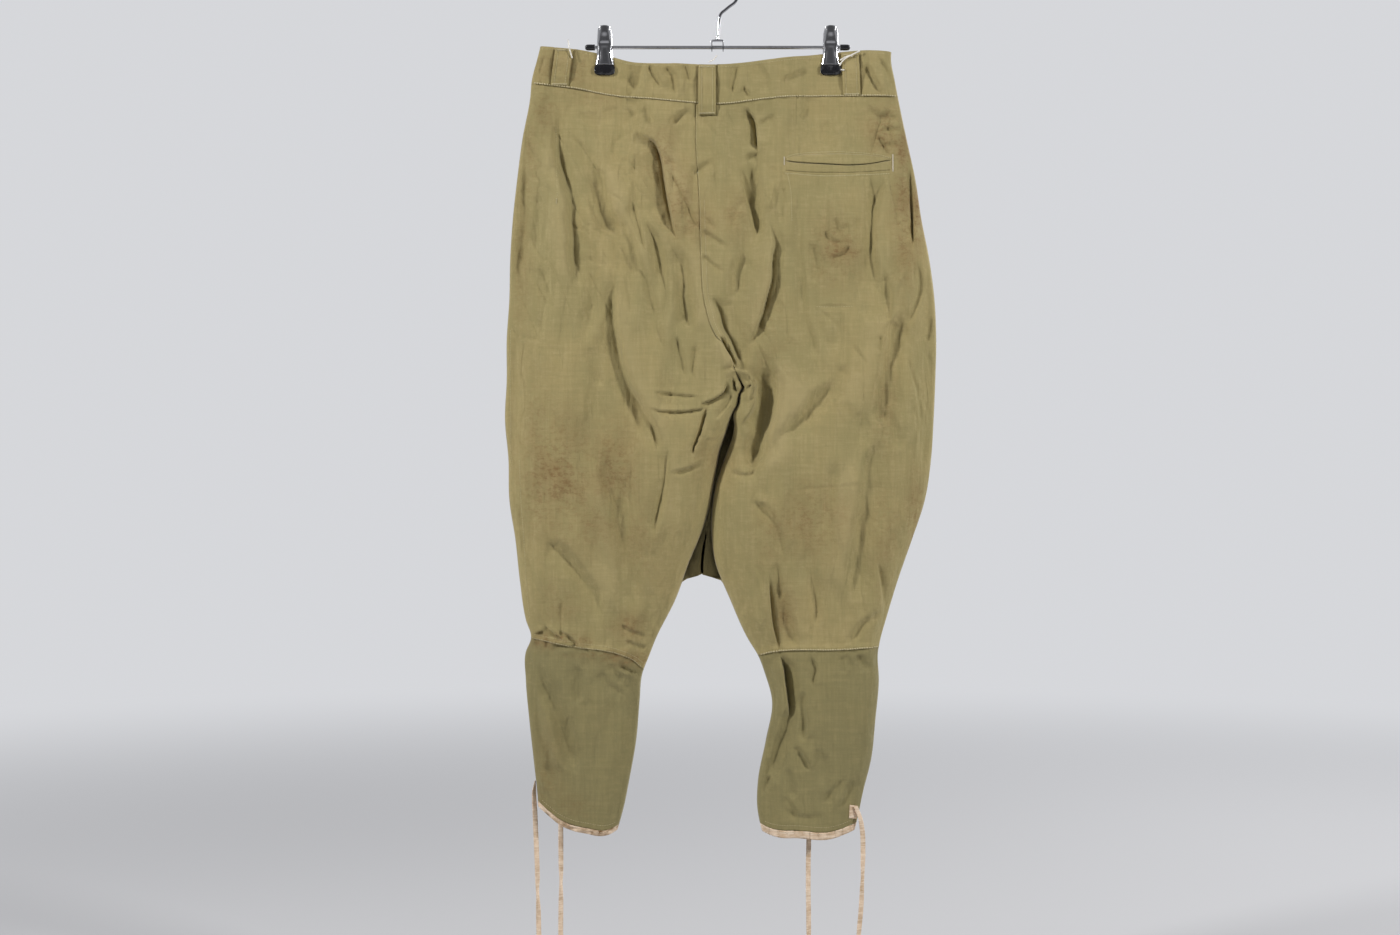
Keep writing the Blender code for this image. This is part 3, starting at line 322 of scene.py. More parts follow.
FRONT_RIGHT_LEG = (
    Fold(((60, 350), (82, 404), (84, 450), (70, 520)), 10, -8, -0.4, 0.7, 2),
    Fold(((190, 320), (176, 376), (168, 440), (160, 560)), 11, -5, -0.3, 0.5),
    Fold(((60, 570), (74, 612), (86, 650), (104, 688)), 9, -6, 0.4, 0.7, 1.5),
    Fold(((120, 380), (112, 440), (120, 510)), 8, -3, 0.3, 0.4),
    Fold(((216, 420), (206, 480), (190, 540)), 7, -3, -0.3, 0.5),
    Fold(((40, 470), (62, 492), (88, 490)), 4, -3, 0.4, 0.8),
    Fold(((150, 700), (138, 748), (128, 810), (120, 870)), 9, -4, 0.4, 0.4),
    Fold(((84, 710), (92, 760), (90, 812), (80, 860)), 8, -5, 0.3, 0.6, 1),
    Fold(((112, 700), (116, 736)), 5, -2, 0.3, 0.5),
)
BACK_BAND = (
    Fold(((-88, 19), (-93, 43), (-106, 62)), 5, -2.4, 0.4, 0.5),
    Fold(((-104, 19), (-96, 34), (-90, 46)), 8, -2, 0.3, 0.1),
    Fold(((-80, 21), (-64, 51)), 5, -2.8, 0.4, 0.6),
    Fold(((-39, 21), (-32, 43)), 4, -2.4, 0.4, 0.6),
    Fold(((23, 21), (16, 58)), 5, -2.8, 0.4, 0.6),
    Fold(((28, 47), (37, 60)), 4, -2.4, 0.4, 0.6),
    Fold(((169, 18), (186, 55)), 5, -3, 0.4, 0.6),
    Fold(((71, 43), (106, 26)), 5, -1.6, 0.4, 0.5),
    Fold(((-118, 34), (-100, 40), (-84, 52)), 6, -2, -0.3, 0.3),
    Fold(((-62, 24), (-52, 36), (-48, 60)), 6, -3, 0.4, 0.6),
    Fold(((-200, 10), (-206, 34)), 4, -2, 0.3, 0.5), Fold(((40, 20), (52, 36), (54, 56)), 7, -2),
    Fold(((182, 10), (196, 34), (203, 50)), 5, -2.6, 0.4, 0.6),
    Fold(((104, 50), (124, 44), (140, 30)), 6, -2, 0.3, 0.3),
)
FRONT_BAND = (
    Fold(((-96, 20), (-88, 56)), 5, -2.8, 0.4, 0.6),
    Fold(((-52, 24), (-58, 60)), 4, -2.4, 0.4, 0.6),
    Fold(((46, 20), (56, 58)), 5, -2.8, 0.4, 0.6),
    Fold(((88, 16), (80, 50)), 5, -1.2, 0.4, 0.5),
    Fold(((172, 12), (180, 52)), 5, -3, 0.4, 0.6),
)
FOLDS = {
    ("back", -1): BACK_SEAT + BACK_LEFT_LEG, ("back", 1): BACK_SEAT + BACK_RIGHT_LEG,
    ("front", -1): FRONT_SEAT + FRONT_LEFT_LEG, ("front", 1): FRONT_SEAT + FRONT_RIGHT_LEG,
    ("back", 0): BACK_BAND, ("front", 0): FRONT_BAND,
}

# A stain has its middle, its size across and down, and how strong it is
Stain = namedtuple("Stain", "x drop wide tall strength")
STAINS = {
    "back": (
        Stain(-182, 490, 42, 65, 0.75), Stain(-118, 485, 32, 50, 0.6), Stain(106, 543, 45, 45, 0.5),
        Stain(-150, 545, 60, 36, 0.45), Stain(-205, 520, 22, 40, 0.6),
        Stain(213, 193, 14, 90, 0.7), Stain(192, 95, 22, 30, 0.7), Stain(135, 233, 30, 36, 0.6),
        Stain(-199, 72, 14, 30, 0.5), Stain(-136, 60, 30, 12, 0.3), Stain(-57, 147, 20, 25, 0.45),
        Stain(-21, 205, 20, 25, 0.4), Stain(-199, 681, 20, 10, 0.7), Stain(-113, 699, 35, 8, 0.6),
        Stain(227, 538, 14, 50, 0.55), Stain(-182, 636, 25, 25, 0.4),
        Stain(-66, 130, 16, 30, 0.8), Stain(-45, 180, 18, 40, 0.6), Stain(-30, 205, 24, 16, 0.5),
        Stain(212, 118, 12, 26, 0.9), Stain(228, 190, 8, 45, 0.9), Stain(142, 238, 22, 8, 0.9),
        Stain(118, 262, 24, 20, 0.4), Stain(-216, 130, 10, 50, 0.45), Stain(20, 196, 14, 26, 0.5),
        Stain(-176, 677, 16, 7, 0.9), Stain(-155, 682, 12, 8, 0.8), Stain(-102, 664, 22, 18, 0.6),
        Stain(-96, 703, 22, 9, 0.8), Stain(-130, 697, 40, 4, 0.7), Stain(-205, 450, 16, 60, 0.5),
        # Stain(-178, 28) at the band's left end and Stain(-197, 830) and Stain(-168, 872) low on the
        # left leg make the cloth there darker and browner.
        Stain(60, 560, 26, 40, 0.4), Stain(190, 420, 14, 60, 0.4), Stain(-178, 28, 34, 24, 0.55),
        Stain(-225, 230, 12, 120, 0.3), Stain(-197, 830, 22, 50, 0.3), Stain(-168, 872, 30, 16, 0.3), Stain(60, 330, 30, 60, 0.25), Stain(-90, 560, 30, 60, 0.3),
        Stain(75, 645, 14, 40, 0.5), Stain(190, 560, 20, 60, 0.35), Stain(-5, 470, 30, 20, 0.3),
    ),
    "front": (
        Stain(-120, 520, 40, 55, 0.6), Stain(150, 480, 35, 50, 0.5), Stain(180, 120, 20, 60, 0.5),
        Stain(-180, 690, 25, 10, 0.6), Stain(60, 260, 30, 30, 0.35), Stain(-60, 180, 25, 40, 0.35),
    ),
}

# Free ribbons: y is the way out of the middle plane, and turn the ribbon's twist in degrees
Tie = namedtuple("Tie", "drop x y turn")
TIES = {
    "tie_left_outer": (
        Tie(843, -210.3, -0.4, 84), Tie(858, -211.4, -0.5, 40), Tie(880, -210.5, 0, 15),
        Tie(905, -209.4, 0, 8), Tie(950, -207.7, 0, 20), Tie(972, -207.3, 0, 62),
        Tie(995, -206.6, 0, 20), Tie(1060, -205.2, 0, 8), Tie(1130, -204.6, 0, 12),
    ),
    "tie_left_inner": (
        Tie(868, -181.6, 9.0, 4), Tie(900, -181.4, 8.6, 6), Tie(940, -181.2, 8.4, 16),
        Tie(962, -181, 8.2, 58), Tie(985, -181.2, 8, 18), Tie(1050, -181.6, 7.6, 6),
        Tie(1145, -182, 7.2, 10),
    ),
    "tie_right_outer": (
        Tie(871, 157.4, -10.3, 25), Tie(884, 162.6, -9, 30), Tie(900, 165.4, -7.2, 14),
        Tie(925, 166.2, -6, 6), Tie(950, 165.8, -5.4, 44), Tie(985, 164.3, -5, 12),
        Tie(1020, 161.4, -4.8, 24), Tie(1070, 160.2, -4.6, 8), Tie(1126, 160.8, -4.4, 14),
    ),
    "tie_right_inner": (
        Tie(868, 105.4, 9.2, 4), Tie(905, 105, 8.8, 6), Tie(950, 104.2, 8.6, 10),
        Tie(1000, 104.6, 8.4, 14), Tie(1060, 105, 8.2, 34), Tie(1140, 104.4, 8, 12),
    ),
}

Jaw = namedtuple("Jaw", "drop half off")
JAW = (
    Jaw(-23.6, 3.2, 8.6), Jaw(-22.4, 5.6, 8.5), Jaw(-19.5, 7.3, 8.1), Jaw(-14, 8, 7.2),
    Jaw(-6, 8.4, 6), Jaw(0, 8.6, 5.3), Jaw(8, 8.9, 4.8), Jaw(15, 10, 4.5), Jaw(20.3, 11.2, 4.4),
)

# Colours, linear
OLIVE, OLIVE_DEEP, OLIVE_PALE = (0.345, 0.272, 0.112), (0.286, 0.240, 0.098), (0.420, 0.335, 0.158)
LEG, LEG_DEEP, LEG_PALE = (0.240, 0.200, 0.080), (0.204, 0.174, 0.072), (0.300, 0.248, 0.106)
TAPE, TAPE_DEEP, TAPE_PALE = (0.76, 0.58, 0.42), (0.54, 0.38, 0.24), (0.86, 0.74, 0.60)
STAIN_BROWN = (0.185, 0.098, 0.030)
THREAD, CREAM = (0.60, 0.52, 0.30), (0.70, 0.62, 0.47)
PALE_THREAD = (0.92, 0.88, 0.80)
# The hook and saddle take a darker copy of the same chrome: painted shade standing for the darker
# reflections on them.
STEEL, SHADED_WIRE_STEEL = (0.66, 0.66, 0.68), (0.36, 0.36, 0.38)
BLACK = (0.012, 0.012, 0.014)
HORN, HORN_PALE = (0.075, 0.045, 0.022), (0.20, 0.13, 0.07)
FLOOR_COLOUR = (0.52, 0.52, 0.53)
SKY = (0.80, 0.81, 0.84)


# ---- curves and tables ----


def curve(table, key, value, at):
    """Smooth curve through one column of a table, read at the given places."""
    places = np.array([getattr(row, key) for row in table], float)
    heights = np.array([getattr(row, value) for row in table], float)
    slopes = np.gradient(heights, places)
    at = np.clip(at, places[0], places[-1])
    row = np.clip(np.searchsorted(places, at, side="right") - 1, 0, len(places) - 2)
    width = places[row + 1] - places[row]
    part = (at - places[row]) / width
    rest = 1 - part
    return (
        heights[row] * (1 + 2 * part) * rest**2
        + slopes[row] * width * part * rest**2
        + heights[row + 1] * part**2 * (3 - 2 * part)
        - slopes[row + 1] * width * part**2 * rest
    )


def mix(first, second, share):
    return first + (second - first) * share


def smooth(low, high, at):
    part = np.clip((at - low) / (high - low), 0, 1)
    return part * part * (3 - 2 * part)


def rounded(share):
    """Quarter ellipse: 0 at an edge and 1 from a share of 1 on."""
    return np.sqrt(1 - (1 - np.clip(share, 0, 1)) ** 2)


def crowded(share):
    """Shares from 0 to 1 moved towards both ends, where the cloth turns round."""
    return mix(share, (1 - np.cos(np.pi * share)) / 2, CROWDING)


def bell(distance, width):
    return np.exp(-((distance / width) ** 2))


def lattice(x, y, seed):
    """Smooth noise from -1 to 1 whose cells are one unit across."""
    column, row = np.floor(x), np.floor(y)
    across, down = smooth(0, 1, x - column), smooth(0, 1, y - row)

    def corner(right, below):
        phase = (column + right) * 127.1 + (row + below) * 311.7 + seed * 74.7
        return 2 * np.modf(np.abs(np.sin(phase) * 43758.5453))[0] - 1

    high = mix(corner(0, 0), corner(1, 0), across)
    low = mix(corner(0, 1), corner(1, 1), across)
    return mix(high, low, down)


# ---- the form of the cloth ----


def line_through(path):
    """Smooth x and drop along a path, with five steps between its points."""
    Point = namedtuple("Point", "step x drop")
    rows = [Point(step, *point) for step, point in enumerate(path)]
    steps = np.linspace(0, len(rows) - 1, 5 * (len(rows) - 1) + 1)
    return curve(rows, "step", "x", steps), curve(rows, "step", "drop", steps)


def from_path(path, x, drop):
    """Signed distance from a path, the share of its length, and the way off it."""
    xs, drops = line_through(path)
    nearest = np.full(np.shape(x), np.inf)
    signed, along, off_x, off_drop = (np.zeros(np.shape(x)) for _ in range(4))
    for index in range(len(xs) - 1):
        run, fall = xs[index + 1] - xs[index], drops[index + 1] - drops[index]
        part = ((x - xs[index]) * run + (drop - drops[index]) * fall) / (run**2 + fall**2)
        part = np.clip(part, 0, 1)
        across_x, across_drop = x - xs[index] - part * run, drop - drops[index] - part * fall
        far = np.hypot(across_x, across_drop)
        closer = far < nearest
        nearest = np.where(closer, far, nearest)
        side = np.sign(across_x * fall - across_drop * run)
        signed = np.where(closer, side * far, signed)
        along = np.where(closer, (index + part) / (len(xs) - 1), along)
        off_x = np.where(closer, across_x / np.maximum(far, 0.01), off_x)
        off_drop = np.where(closer, across_drop / np.maximum(far, 0.01), off_drop)
    return signed, along, off_x, off_drop


def folded(folds, x, drop):
    """Height of the folds, how far they pull the cloth sideways, how worn their crests are, and painted
    shade in their troughs and creases.
    """
    height, pull_x, pull_drop, wear = (np.zeros(np.shape(x)) for _ in range(4))
    for fold in folds:
        xs, drops = np.array(fold.path, float).T
        reach = 5 * fold.width
        near = (x > xs.min() - reach) & (x < xs.max() + reach)
        near &= (drop > drops.min() - reach) & (drop < drops.max() + reach)
        if not near.any():
            continue
        signed, along, off_x, off_drop = from_path(fold.path, x[near], drop[near])
        waver = lattice(x[near] / 13, drop[near] / 17, fold.width)
        off = signed * math.copysign(1, fold.ridge) + 0.16 * fold.width * waver
        fade = smooth(0, 0.24, along) * smooth(1, 0.76, along)
        width = fold.width * mix(0.5, 1, fade)
        steep = width * mix(1, 0.2, fold.sharp) + 0.4 * fold.sharp
        wide = np.where(off < 0, width * mix(1, 1.7, fold.sharp), steep)
        trough = mix(1, 0.6, fold.sharp) * bell(off, wide) + 0.45 * fold.sharp * bell(off, 1.4)
        trough = fade * trough
        crest = width * mix(1.7, 0.45, fold.sharp)
        slope = np.where(off < crest, 0.6 * crest, width * mix(1.3, 2.2, fold.sharp))
        ridge = fade * bell(off - crest, slope)
        uneven = 1 + 0.25 * lattice(x[near] / 21, drop[near] / 29, fold.width + 1)
        height[near] += FOLD_DEEP * uneven * fold.depth * (trough - abs(fold.ridge) * ridge)
        pull_x[near] -= fold.tuck * ridge * off_x
        pull_drop[near] -= fold.tuck * ridge * off_drop
        # Painted shade: the colour mark below is darkened in troughs and along sharp crease lines,
        # standing for the shade there together with some dirt; crests are made paler where worn.
        crease = fold.sharp * fade * bell(off, 1.6)
        wear[near] += min(1, abs(fold.depth) / 6) * (0.5 * ridge - 0.3 * trough - 0.6 * crease)
    return height, pull_x, pull_drop, wear


def undulation(layer, x, drop):
    """The shallow unevenness of washed cloth that hangs."""
    seed = 3 + OUT[layer]
    warp_x = x + 9 * lattice(x / 55, drop / 70, seed + 3)
    warp_drop = drop + 16 * lattice(x / 48, drop / 60, seed + 4)
    pocket = smooth(62, 74, x) * smooth(212, 202, x) * bell(drop - 134, 18) * (layer == "back")
    calm = mix(1, 0.35, smooth(380, 470, drop))
    return (1 - 0.85 * pocket) * mix(1, 0.45, smooth(640, 720, drop)) * (
        4.4 * lattice(warp_x / 36, warp_drop / 240, seed)
        + 2.6 * lattice((warp_x + 0.15 * drop) / 16, warp_drop / 130, seed + 1)
        + 0.6 * lattice((x - 0.3 * drop) / 7, drop / 25, seed + 2)
        - calm * 2.5 * crinkle(warp_x / 21, warp_drop / 130, seed + 5) * patchy(x, drop, seed + 6)
        - calm * 1.4 * crinkle((warp_x - 0.5 * warp_drop) / 13, warp_drop / 40, seed + 7)
        * patchy(x, drop, seed + 8)
    )


def crinkle(x, y, seed):
    """Narrow creases that wander between soft swellings, 1 in the crease."""
    return np.clip(1 - 4.5 * abs(lattice(x, y, seed)), 0, 1) ** 1.6


def patchy(x, drop, seed):
    return smooth(-0.15, 0.55, lattice(x / 62, drop / 85, seed))


def band_depth(x, drop):
    """Half the waistband's thickness, with its two layers pinched together in the clips."""
    left, right = curve(SIDES, "drop", "left", drop), curve(SIDES, "drop", "right", drop)
    from_clip = np.minimum(abs(x - CLIPS[0]), abs(x - CLIPS[1]))
    outside = (x < CLIPS[0]) | (x > CLIPS[1])
    opening = np.where(outside, OPEN_OUTSIDE, OPEN_BETWEEN)
    depth = PINCHED + opening * smooth(PINCH_FLAT, PINCH_REACH, from_clip)
    return depth * rounded((x - left) / BAND_ROUND) * rounded((right - x) / BAND_ROUND)


def edges(side, layer, drop):
    """x of the seam or inseam, and of the side edge."""
    seam = curve(CENTRE_SEAMS, "drop", layer, drop) + side * GAP / 2
    inseam = curve(INSEAMS, "drop", SIDE[side], drop)
    return np.where(drop < CROTCH, seam, inseam), curve(SIDES, "drop", SIDE[side], drop)


# Seams sewn into the panels: a narrow groove, and a strip of doubled cloth to its right
Groove = namedtuple("Groove", "path width depth strip", defaults=(0,))
GROOVES = {
    "back": (
        Groove(((-136, 66), (-136, 82), (-134.5, 141), (-130, 175)), 1.3, -0.7, 6),
        Groove(((90, 58), (90, 90), (89, 124)), 1.3, -0.7, 5),
        Groove(((148, 57), (148, 90), (147, 124)), 1.3, -0.7, 5),
        Groove(((-187, 92), (-185, 129), (-183, 176)), 1.2, -0.6, 4),
        Groove(((78, 133.2), (110, 135), (150, 136.6), (180, 135.2), (197, 131.2)), 1.2, -2.5),
    ),
    "front": (
        Groove(((-116, 64), (-117, 96), (-114, 150)), 1.3, -0.7, 5),
        Groove(((104, 60), (104, 96), (100, 150)), 1.3, -0.7, 5),
        Groove(((-200, 70), (-190, 140), (-196, 230)), 1.2, -0.7, 5),
        Groove(((188, 74), (196, 140), (204, 236)), 1.2, -0.7, 5),
    ),
}
CENTRE_GROOVE, CENTRE_STRIP, FELLED_FROM = -0.6, 6.5, 165.0
BAND_PUCKER, KNEE_PUCKER = 1.1, 2.0


def seam_relief(side, layer, x, drop):
    """Grooves, doubled strips and puckers where the panels are sewn."""
    height = np.zeros(np.shape(x))
    for groove in GROOVES[layer]:
        signed, along, _, _ = from_path(groove.path, x, drop)
        ends = smooth(0, 0.03, along) * smooth(1, 0.97, along)
        height += ends * groove.depth * bell(signed, groove.width)
        if groove.strip:
            height += ends * 0.4 * smooth(0, 1, signed) * smooth(groove.strip, groove.strip - 1, signed)
    seam = x - curve(CENTRE_SEAMS, "drop", layer, drop)
    above = smooth(CROTCH, CROTCH - 12, drop)
    strip = smooth(0, 1, seam) * smooth(CENTRE_STRIP, CENTRE_STRIP - 1, seam)
    height += above * (CENTRE_GROOVE * bell(seam, 1.5)
                       + 0.45 * strip * smooth(FELLED_FROM, FELLED_FROM + 30, drop))
    below_band = drop - curve(BAND, "x", "seam", x)
    puckers = BAND_PUCKER * lattice(x / 8, drop / 30, 11) * bell(below_band, 20)
    height += puckers * smooth(-1, 5, below_band)
    start, end = edges(side, layer, drop)
    share = np.clip((x - start) / (end - start), 0, 1)
    from_knee = drop - curve(KNEES, "share", SIDE[side], share)
    rough = KNEE_PUCKER if side < 0 else 0.4 * KNEE_PUCKER
    height += rough * lattice(x / 6.5, drop / 9, 12) * bell(from_knee, 11)
    height += 0.7 * bell(from_knee + 4, 2.6) - 0.5 * bell(from_knee - 1.2, 1.2)
    from_hem = drop - curve(HEMS, "share", SIDE[side], share) + TAPE_WIDTHS[side]
    height += 0.5 * lattice(x / 5, drop / 12, 13) * bell(from_hem, 9)
    return height


def panel(side, layer, x, drop):
    """Points on the outside of a seat, thigh or lower leg, and how worn the cloth is there, with
    painted shade in its creases.
    """
    x, drop = np.broadcast_arrays(np.asarray(x, float), np.asarray(drop, float))
    start, end = edges(side, layer, drop)
    width = abs(end - start)
    share = np.clip((x - start) / (end - start), 0, 1)
    closing = np.clip((drop - CLOSE_FROM) / (CROTCH - CLOSE_FROM), 0, 1) ** 2
    inner_round = mix(0.035, INNER_ROUND, smooth(400, 520, drop))
    pressed = mix(0.42, 1, smooth(424, 470, drop))
    inner = 1 - closing * pressed * (1 - rounded(share / inner_round))
    body = curve(DEPTHS, "drop", layer, drop) * rounded((1 - share) / SIDE_ROUND) * inner
    body = mix(band_depth(x, drop), body, smooth(PINCH_FROM, PINCH_GONE, drop))
    fade = smooth(0, EDGE_FADE, (1 - share) * width)
    fade = fade * (1 - closing * (1 - smooth(0, EDGE_FADE, share * width)))
    height, pull_x, pull_drop, wear = folded(FOLDS[layer, side], x, drop)
    ends = fade * smooth(0, 20, drop - curve(BAND, "x", "seam", x))
    height = height + undulation(layer, x, drop)
    height = np.where(height > 0, MOST_PROUD * np.tanh(height / MOST_PROUD), height)
    depth = body + ends * height
    depth += np.clip(2 * fade, 0, 1) * seam_relief(side, layer, x, drop)
    depth = np.maximum(depth, np.minimum(body, LEAST_DEPTH))
    points = place(layer, x + ends * pull_x, depth, drop + ends * pull_drop)
    return points, np.clip(ends * wear, -1, 1)


def band(layer, x, drop):
    """Points on the outside of the waistband, and how worn the cloth is there, with painted shade in
    its creases.
    """
    x, drop = np.broadcast_arrays(np.asarray(x, float), np.asarray(drop, float))
    top, seam = curve(BAND, "x", "top", x), curve(BAND, "x", "seam", x)
    from_clip = np.minimum(abs(x - CLIPS[0]), abs(x - CLIPS[1]))
    height, _, _, wear = folded(FOLDS[layer, 0], x, drop)
    loose = smooth(12, 30, from_clip)
    height = height + 0.7 * lattice(x / 26, drop / 60, 21) + 0.3 * lattice(x / 9, drop / 24, 22)
    left, right = curve(SIDES, "drop", "left", drop), curve(SIDES, "drop", "right", drop)
    fade = smooth(0, 10, np.minimum(x - left, right - x))
    roll = rounded((drop - top) / 1.6) * rounded((seam - drop) / 0.8)
    for loop in LOOPS.values():
        if loop.layer == layer:
            middle = curve_between(loop.top_x, loop.foot_x, (drop - loop.top) / (loop.foot - loop.top))
            height = height - 1.3 * bell(abs(x - middle) - LOOP_WIDTH / 2 - 0.3, 1.0)
    depth = band_depth(x, drop) + loose * fade * height
    depth += fade * (0.5 * roll + 0.35 * smooth(20, 4, seam - drop))
    return place(layer, x, depth, drop), np.clip(wear * fade, -1, 1)


def curve_between(first, second, share):
    return mix(first, second, np.clip(share, 0, 1))


def place(layer, x, depth, drop):
    y = OUT[layer] * np.maximum(depth, GAP / 2)
    return np.stack(np.broadcast_arrays(x, y, -(ROD_DROP + drop)), axis=-1)


def normals(surface, layer, x, drop):
    """Unit normals of a surface function, on the side that the layer faces."""
    step = 0.4
    here = surface(x, drop)[0]
    across = surface(x + step, drop)[0] - here
    down = surface(x, drop + step)[0] - here
    normal = np.cross(across, down)
    normal /= np.maximum(np.linalg.norm(normal, axis=-1, keepdims=True), 1e-9)
    return here, normal * np.where(normal[..., 1:2] * OUT[layer] < 0, -1, 1)


def stained(layer, x, drop):
    total = np.zeros(np.shape(x))
    for stain in STAINS[layer]:
        far = ((x - stain.x) / stain.wide) ** 2 + ((drop - stain.drop) / stain.tall) ** 2
        total = np.maximum(total, stain.strength * np.exp(-far))
    return total


# ---- making pieces ----


def link(name, data, finish, nodes=()):
    """Puts a finished piece in the scene, on the body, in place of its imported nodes."""
    data.materials.append(finish)
    made = bpy.data.objects.new(name, data)
    bpy.context.scene.collection.objects.link(made)
    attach(made, "root")
    if nodes:
        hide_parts(*nodes)
    return made


def add_shape(name, shape, finish, nodes=(), sharp=40):
    """A piece from a bmesh in millimetres, with its faces turned outwards."""
    bmesh.ops.scale(shape, verts=shape.verts, vec=(MM, MM, MM))
    bmesh.ops.recalc_face_normals(shape, faces=shape.faces[:])
    mesh = bpy.data.meshes.new(name)
    shape.to_mesh(mesh)
    shape.free()
    mesh.shade_smooth()
    mesh.set_sharp_from_angle(angle=math.radians(sharp))
    return link(name, mesh, finish, nodes)


def grid(name, columns, rows):
    """A flat grid, with the share across and the level down of each of its points."""
    shape = bmesh.new()
    bmesh.ops.create_grid(shape, x_segments=columns, y_segments=rows, size=0.5)
    mesh = bpy.data.meshes.new(name)
    shape.to_mesh(mesh)
    shape.free()
    flat = np.empty(3 * len(mesh.vertices))
    mesh.vertices.foreach_get("co", flat)
    flat = flat.reshape(-1, 3)
    return mesh, flat[:, 0] + 0.5, 0.5 - flat[:, 1]


def lay(mesh, points, layer, **marks):
    """Moves a grid onto its points, outside facing out, and writes what varies over it."""
    mesh.vertices.foreach_set("co", (points * MM).ravel())
    mesh.update()
    facing = np.empty(3 * len(mesh.polygons))
    mesh.polygons.foreach_get("normal", facing)
    if facing.reshape(-1, 3)[:, 1].sum() * OUT[layer] < 0:
        mesh.flip_normals()
    for key, values in marks.items():
        mesh.attributes.new(key, "FLOAT", "POINT").data.foreach_set("value", np.ravel(values))
    mesh.shade_smooth()


def thicken(piece, thick):
    wall = piece.modifiers.new("cloth", "SOLIDIFY")
    wall.thickness = thick * MM
    wall.offset = -1
    wall.use_rim = True


def patch(name, layer, surface, x, drop, mesh, finish, nodes=(),
          lift=PATCH_LIFT + PATCH_WALL, thick=PATCH_WALL, roll=None):
    """A piece that lies on the cloth: the cloth's own points, moved out."""
    here, normal = normals(surface, layer, x, drop)
    up = lift if roll is None else lift - thick * 0.8 * (1 - roll)
    wear = surface(x, drop)[1]
    lay(mesh, here + np.reshape(up * np.ones(len(x)), (-1, 1)) * normal, layer,
        stain=stained(layer, x, drop), wear=wear)
    piece = link(name, mesh, finish, nodes)
    thicken(piece, thick)
    return piece


def rolled(share, level, round_x, round_drop):
    """How the four edges of a patch round off: 0 at an edge, 1 inside."""
    sides = rounded(share * round_x) * rounded((1 - share) * round_x)
    return sides * rounded(level * round_drop) * rounded((1 - level) * round_drop)


# ---- garment ----


def under(side, drop):
    """How far the front of a leg reaches in behind the other leg, below the crotch."""
    gap = curve(INSEAMS, "drop", "right", drop) - curve(INSEAMS, "drop", "left", drop)
    reach = np.where(drop < CROTCH, 5 * (side < 0), np.maximum(5 * (side < 0), gap / 2 + 1.5))
    return reach * smooth(CROTCH - 22, CROTCH - 15, drop) * smooth(614, 605, drop)


def thigh(side, layer, columns, rows, finish):
    """Seat and thigh in one piece, from the waistband's seam to the knee."""
    name = f"thigh_{layer}_{SIDE[side]}"
    mesh, share, level = grid(name, columns, 2 * rows)
    share, level = crowded(share), 2 * level
    top = np.full(share.shape, 58.0)
    for _ in range(3):
        start, end = edges(side, layer, top)
        top = curve(BAND, "x", "seam", mix(start, end, share)) - 2.5
    knee = curve(KNEES, "share", SIDE[side], share)
    drop = np.where(level < 1, mix(top, CROTCH, level), mix(CROTCH, knee, level - 1))
    start, end = edges(side, layer, drop)
    x = mix(start, end, share)
    inner = smooth(0.07, 0, share) * under(side, drop) if layer == "front" else 0 * x
    points, wear = panel(side, layer, x - side * inner, drop)
    points[..., 1] += np.minimum(1.7 * inner, 9) + OUT[layer] * 0.7 * smooth(5, 2, knee - drop)
    # Painted shade: the front's edge that reaches in behind the other leg is darkened in its colour
    # mark.
    wear = wear - 0.25 * inner
    lay(mesh, points, layer, stain=stained(layer, x, drop), wear=wear)
    piece = link(name, mesh, finish, [f"{layer}_{SIDE[side]}"])
    thicken(piece, CLOTH_THICK)
    return piece


def lower_leg(side, layer, columns, rows, finish):
    name = f"lower_leg_{layer}_{SIDE[side]}"
    mesh, share, level = grid(name, columns, rows)
    share = crowded(share)
    knee = curve(KNEES, "share", SIDE[side], share) - 2.5
    hem = curve(HEMS, "share", SIDE[side], share)
    drop = mix(knee, hem - TAPE_WIDTHS[side], level)
    start, end = edges(side, layer, drop)
    x = mix(start, end, share)
    points, wear = panel(side, layer, x, drop)
    lay(mesh, points, layer, stain=stained(layer, x, drop), wear=wear)
    piece = link(name, mesh, finish, [f"lower_{layer}_{SIDE[side]}"])
    thicken(piece, CLOTH_THICK)
    return piece


def hem_binding(side, layer, columns, finish):
    """The tape folded round the edge of the leg, pulled up a little by its stitches."""
    name = f"hem_binding_{layer}_{SIDE[side]}"
    mesh, share, level = grid(name, columns, 10)
    share = crowded(share)
    hem = curve(HEMS, "share", SIDE[side], share)
    drop = mix(hem - TAPE_WIDTHS[side] - 0.2, hem, level)
    start, end = edges(side, layer, drop)
    x = mix(start, end, share)
    points, wear = panel(side, layer, x, drop)
    proud = TAPE_PROUD * (0.3 + rounded(level * 3) * rounded((1 - level) * 2.5))
    dimple = 0.45 * lattice(x / 4.6, level * 1.5, 31) + 0.35 * lattice(x / 9, level, 32)
    soft = rounded(share * 10) * rounded((1 - share) * 10)
    # The stain mark here is real soiling plus painted shade: darker in the troughs of the left tape's
    # wrinkles and in the right tape's stitch dimples.
    if side < 0:
        rough = lattice(x / 5, level * 2 + x / 11, 33)
        dimple += 1.1 * rough * rounded(level * 4)
        soiling_and_shade = 0.55 + 0.9 * np.clip(-rough, 0, 1)
    else:
        tick = bell((x + 1.6 * lattice(x / 12, 0 * x, 34)) % 9.2 - 4.6, 0.8)
        dimple -= 0.8 * tick * smooth(1, 0.4, level)
        soiling_and_shade = 0.15 + 0.6 * tick
    points[..., 1] += OUT[layer] * soft * (proud + dimple)
    lay(mesh, points, layer, stain=soiling_and_shade, wear=wear)
    piece = link(name, mesh, finish, [f"hem_tape_{layer}_{SIDE[side]}"])
    thicken(piece, TAPE_THICK)
    return piece


